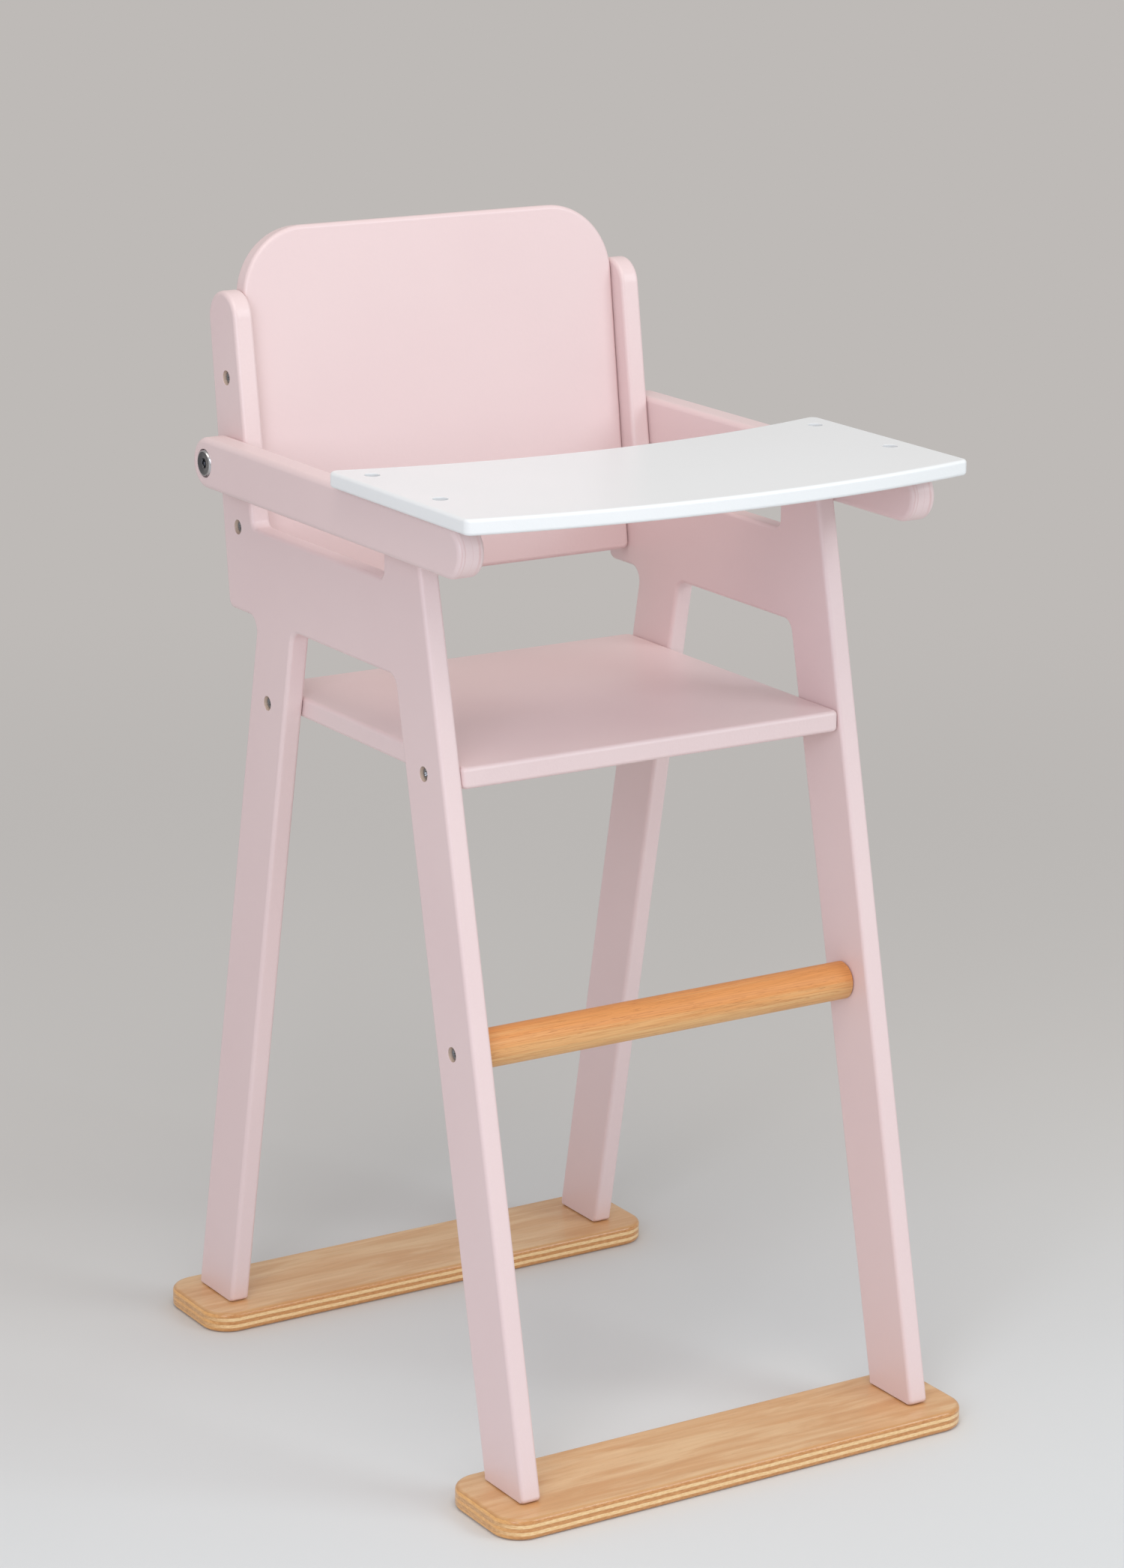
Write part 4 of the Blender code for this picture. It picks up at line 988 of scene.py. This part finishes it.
def screw_pattern():
    """Make one cross-head screw, seat at Z = 0 and head above, for the screw rows to copy."""
    shank = SCREW_DIAMETER / 2
    head = SCREW_HEAD_DIAMETER / 2
    soft = SCREW_HEAD_RADIUS
    profile = [
        (SCREW_DIAMETER / 20, -SCREW_LENGTH, (1, -1)),
        (shank, SCREW_TIP - SCREW_LENGTH, (1, -0.4), (1, 0)),
        (shank, 0, (1, 0), (0, -1)),
        (head, 0, (0, -1), (1, 0)),
    ]
    for step in range(SCREW_RIM_STEPS + 1):
        angle = math.pi / 2 * step / SCREW_RIM_STEPS
        direction = (math.cos(angle), math.sin(angle))
        profile.append((head - soft + soft * direction[0],
                        SCREW_HEAD_THICK - soft + soft * direction[1], direction))
    item = turned("screw_pattern", profile, SCREW_STEPS, Matrix.Identity(4), SCREW_STEEL)
    arm_width = SCREW_CROSS_WIDTH / 2
    reach = SCREW_CROSS_LENGTH / 2
    outline = ((reach, -arm_width), (reach, arm_width), (arm_width, arm_width),
               (arm_width, reach), (-arm_width, reach), (-arm_width, arm_width),
               (-reach, arm_width), (-reach, -arm_width), (-arm_width, -arm_width),
               (-arm_width, -reach), (arm_width, -reach), (arm_width, -arm_width))
    bm = bmesh.new()
    low, high = ([bm.verts.new((x * share, y * share, z)) for x, y in outline]
                 for share, z in ((CROSS_FLOOR_SHARE, SCREW_HEAD_THICK - SCREW_CROSS_DEPTH),
                                  (CROSS_MOUTH_SHARE, SCREW_HEAD_THICK + SCREW_CROSS_DEPTH / 4)))
    bm.faces.new(low[::-1])
    bm.faces.new(high)
    for here in range(len(outline)):
        there = (here + 1) % len(outline)
        bm.faces.new((low[here], low[there], high[there], high[here]))
    mesh = bpy.data.meshes.new("cross_tool")
    bm.to_mesh(mesh)
    bm.free()
    tool = bpy.data.objects.new("cross_tool", mesh)
    bpy.context.scene.collection.objects.link(tool)
    return carved(item, tool)


def screw_row_tree(pattern):
    """Build the node tree that sets a screw at each point, sunk along its direction."""
    tree = bpy.data.node_groups.new("screw_row", "GeometryNodeTree")
    tree.interface.new_socket("Places", in_out="INPUT", socket_type="NodeSocketGeometry")
    tree.interface.new_socket("Sink", in_out="INPUT", socket_type="NodeSocketFloat")
    tree.interface.new_socket("Seed", in_out="INPUT", socket_type="NodeSocketInt")
    tree.interface.new_socket("Screws", in_out="OUTPUT", socket_type="NodeSocketGeometry")
    given = add_node(tree, "NodeGroupInput").outputs
    out = add_node(tree, "GeometryNodeInputNamedAttribute", {"Name": "out"},
                   data_type="FLOAT_VECTOR").outputs["Attribute"]
    depth = add_node(tree, "ShaderNodeMath", {0: given["Sink"], 1: -1.0},
                     operation="MULTIPLY")
    shift = add_node(tree, "ShaderNodeVectorMath", {0: out, "Scale": depth.outputs[0]},
                     operation="SCALE")
    sunk = add_node(tree, "GeometryNodeSetPosition", {
        "Geometry": given["Places"], "Offset": shift.outputs[0]})
    aim = add_node(tree, "FunctionNodeAlignRotationToVector", {"Vector": out}, axis="Z")
    spin = add_node(tree, "FunctionNodeRandomValue", {
        "Min": 0.0, "Max": math.pi / 2, "Seed": given["Seed"]}, data_type="FLOAT")
    spin_value = [socket for socket in spin.outputs if socket.enabled][0]
    about = add_node(tree, "ShaderNodeCombineXYZ", {"Z": spin_value})
    turn = add_node(tree, "FunctionNodeEulerToRotation", {0: about.outputs[0]})
    facing = add_node(tree, "FunctionNodeRotateRotation", {
        "Rotation": aim.outputs[0], "Rotate By": turn.outputs[0]}, rotation_space="LOCAL")
    screw = add_node(tree, "GeometryNodeObjectInfo", {"Object": pattern})
    copies = add_node(tree, "GeometryNodeInstanceOnPoints", {
        "Points": sunk.outputs[0], "Instance": screw.outputs["Geometry"],
        "Rotation": facing.outputs[0]})
    real = add_node(tree, "GeometryNodeRealizeInstances", {0: copies.outputs[0]})
    dressed = add_node(tree, "GeometryNodeSetMaterial", {
        "Geometry": real.outputs[0], "Material": SCREW_STEEL})
    add_node(tree, "NodeGroupOutput", {0: dressed.outputs[0]})
    return tree


def screw_row(name, tree, places, seed, body, nodes):
    """Make a set of screws from (place, direction) pairs as one plain mesh."""
    mesh = bpy.data.meshes.new(name)
    mesh.from_pydata([place for place, direction in places], [], [])
    out = mesh.attributes.new("out", "FLOAT_VECTOR", "POINT")
    out.data.foreach_set("vector", [part for place, direction in places
                                    for part in direction])
    item = bpy.data.objects.new(name, mesh)
    bpy.context.scene.collection.objects.link(item)
    modifier = item.modifiers.new("row", "NODES")
    modifier.node_group = tree
    values = {"Sink": COUNTERBORE_DEPTH - FIT_GAP, "Seed": seed}
    for socket in tree.interface.items_tree:
        if socket.name in values:
            modifier[socket.identifier] = values[socket.name]
    graph = bpy.context.evaluated_depsgraph_get()
    plain = bpy.data.meshes.new_from_object(item.evaluated_get(graph))
    item.modifiers.clear()
    item.data = plain
    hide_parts(*nodes)
    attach(item, body)


def screws():
    """Set every screw: through the side panels, up through the feet, down through the tray."""
    pattern = screw_pattern()
    tree = screw_row_tree(pattern)
    for hand, side in SIDES.items():
        places = [((side * HALF_WIDTH, y, z), (side, 0, 0)) for y, z in SIDE_SCREW_PLACES]
        nodes = ["backrest_screw_" + hand + "_lower", "backrest_screw_" + hand + "_upper",
                 "seat_screw_" + hand + "_front", "seat_screw_" + hand + "_rear",
                 "footrest_screw_" + hand]
        screw_row("side_screws_" + hand, tree, places, 3 + side, "chair", nodes)
    for end, foot_y, seed in (("front", FRONT_FOOT_Y, 5), ("rear", REAR_FOOT_Y, 4)):
        places = [((x, foot_y + LEG_WIDTH / 2 + step, 0), (0, 0, -1))
                  for x in FOOT_SCREW_XS for step in FOOT_SCREW_STEPS]
        nodes = ["foot_screw_" + end + "_" + hand + "_" + row
                 for hand in SIDES for row in ("fore", "aft")]
        screw_row("foot_screws_" + end, tree, places, seed, "chair", nodes)
    places = [((x, y, TRAY_HEIGHT), (0, 0, 1)) for x, y in TRAY_SCREW_PLACES]
    nodes = ["tray_screw_" + hand + "_" + row for hand in SIDES for row in ("front", "rear")]
    screw_row("tray_screws", tree, places, 9, "tray_and_arms", nodes)
    bpy.data.objects.remove(pattern, do_unlink=True)


def inserts():
    """Give the threaded inserts, which stay as packed, their plated steel."""
    for hand in SIDES:
        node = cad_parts["pivot_insert_" + hand]
        for slot in node.material_slots:
            slot.material = SCREW_STEEL


# Stage

BACKDROP = "#BEBAB7"
FLOOR_REACH = 15.0
FLOOR_DRIFT = 0.25
LAMPS = (
    # name, place, size, power, colour
    ("left_softbox", (-1.40, -1.30, 0.90), 0.8, 11.6, "#EAF3FF"),
    ("right_softbox", (1.10, -1.40, 1.25), 0.9, 11.0, "#E6F4F9"),
    ("top_softbox", (-0.30, -0.60, 1.70), 0.9, 7.6, "#FFF7EE"),
)
LAMP_AIM = Vector((0, 0, 0.25))


def studio():
    """Lay a pale floor with painted shade behind, lit softly from both sides of the front."""
    material, tree, shader, where = new_material("pale_studio_floor")
    place = add_node(tree, "ShaderNodeSeparateXYZ", {0: where}).outputs
    speckle = add_node(tree, "ShaderNodeTexNoise", {
        "Vector": where, "Scale": 1 / FLOOR_DRIFT, "Detail": 2.0})
    # Painted shade: the floor's colour goes from pale at the front to greyer and warmer behind
    # and to the right
    slant = add_node(tree, "ShaderNodeMath", {0: place["X"], 1: 0.30, 2: place["Y"]},
                     operation="MULTIPLY_ADD")
    wander = add_node(tree, "ShaderNodeMath", {
        0: speckle.outputs[0], 1: 0.10, 2: slant.outputs[0]}, operation="MULTIPLY_ADD")
    behind = add_node(tree, "ShaderNodeMapRange", {
        "Value": wander.outputs[0], "From Min": -0.20, "From Max": 0.45},
        interpolation_type="SMOOTHSTEP")
    tone = add_node(tree, "ShaderNodeMix", {
        0: behind.outputs[0], 6: linear("#DFE0E0"), 7: linear("#D2CECA")},
        data_type="RGBA")
    tree.links.new(tone.outputs[2], shader.inputs["Base Color"])
    shader.inputs["Roughness"].default_value = 0.7
    shader.inputs["Specular IOR Level"].default_value = 0.3
    away = add_node(tree, "ShaderNodeVectorMath", {0: where}, operation="LENGTH")
    far = add_node(tree, "ShaderNodeMapRange", {
        "Value": away.outputs["Value"], "From Min": 0.35, "From Max": 1.5,
        "To Min": 0.0, "To Max": 1.0}, interpolation_type="SMOOTHSTEP")
    sight = add_node(tree, "ShaderNodeLightPath").outputs
    seen = add_node(tree, "ShaderNodeMath", {0: sight["Is Camera Ray"],
                                             1: sight["Is Glossy Ray"]}, operation="MAXIMUM")
    share = add_node(tree, "ShaderNodeMath", {0: far.outputs[0], 1: seen.outputs[0]},
                     operation="MULTIPLY")
    haze = add_node(tree, "ShaderNodeEmission", {"Color": linear(BACKDROP), "Strength": 1.0})
    blend = add_node(tree, "ShaderNodeMixShader", {
        0: share.outputs[0], 1: shader.outputs[0], 2: haze.outputs[0]})
    tree.links.new(blend.outputs[0], tree.nodes["Material Output"].inputs["Surface"])
    mesh = bpy.data.meshes.new("floor")
    mesh.from_pydata([(x * FLOOR_REACH, y * FLOOR_REACH, 0)
                      for x, y in ((-1, -1), (1, -1), (1, 1), (-1, 1))], [], [(0, 1, 2, 3)])
    mesh.materials.append(material)
    floor = bpy.data.objects.new("floor", mesh)
    bpy.context.scene.collection.objects.link(floor)

    world = bpy.data.worlds.new("studio_air")
    bpy.context.scene.world = world
    world.use_nodes = True
    tree = world.node_tree
    tree.nodes.clear()
    sight = add_node(tree, "ShaderNodeLightPath").outputs
    seen = add_node(tree, "ShaderNodeMath", {0: sight["Is Camera Ray"],
                                             1: sight["Is Glossy Ray"]}, operation="MAXIMUM")
    air = add_node(tree, "ShaderNodeBackground", {"Color": linear("#F3F4F6"),
                                                  "Strength": 0.62})
    backdrop = add_node(tree, "ShaderNodeBackground", {"Color": linear(BACKDROP),
                                                       "Strength": 1.0})
    mix = add_node(tree, "ShaderNodeMixShader", {0: seen.outputs[0], 1: air.outputs[0],
                                                 2: backdrop.outputs[0]})
    add_node(tree, "ShaderNodeOutputWorld", {0: mix.outputs[0]})

    for setting in LAMPS:
        lamp(*setting)


def lamp(name, place, size, power, colour):
    """Hang a square soft box that faces the middle of the chair."""
    light = bpy.data.lights.new(name, "AREA")
    light.size = size
    light.energy = power
    light.color = linear(colour)[:3]
    item = bpy.data.objects.new(name, light)
    item.location = place
    aim = LAMP_AIM - Vector(place)
    item.rotation_euler = aim.to_track_quat("-Z", "Y").to_euler()
    bpy.context.scene.collection.objects.link(item)


CAMERA_PLACE = (-0.94402, -1.51325, 0.75331)
CAMERA_TURNS = (-32.0117, 15.4356, 0.436)      # azimuth, elevation and roll in degrees
CAMERA_LENS = 101.13
SENSOR_HEIGHT = 36.0


def camera():
    """Set the camera where the photograph was taken from."""
    azimuth, elevation, roll = (math.radians(turn) for turn in CAMERA_TURNS)
    back = Vector((math.sin(azimuth) * math.cos(elevation),
                   -math.cos(azimuth) * math.cos(elevation), math.sin(elevation)))
    right = (-back).cross(Vector((0, 0, 1))).normalized()
    up = right.cross(-back)
    across = right * math.cos(roll) + up * math.sin(roll)
    upward = up * math.cos(roll) - right * math.sin(roll)
    view = bpy.data.cameras.new("photo_camera")
    view.sensor_fit = "VERTICAL"
    view.sensor_height = SENSOR_HEIGHT
    view.lens = CAMERA_LENS
    view.clip_end = 100.0
    item = bpy.data.objects.new("photo_camera", view)
    item.matrix_world = (Matrix.Translation(CAMERA_PLACE)
                         @ Matrix((across, upward, back)).transposed().to_4x4())
    bpy.context.scene.collection.objects.link(item)
    bpy.context.scene.camera = item
    bpy.context.scene.view_settings.view_transform = "Standard"


def build():
    """Make every piece of the chair, then the stage."""
    for hand, side in SIDES.items():
        side_panel(hand, side)
        arm(hand, side)
        pivot_bolt(hand, side)
    seat()
    backrest()
    footrest()
    foot_board("front", -1, FRONT_FOOT_Y)
    foot_board("rear", 1, REAR_FOOT_Y)
    tray()
    screws()
    inserts()
    studio()
    camera()


build()
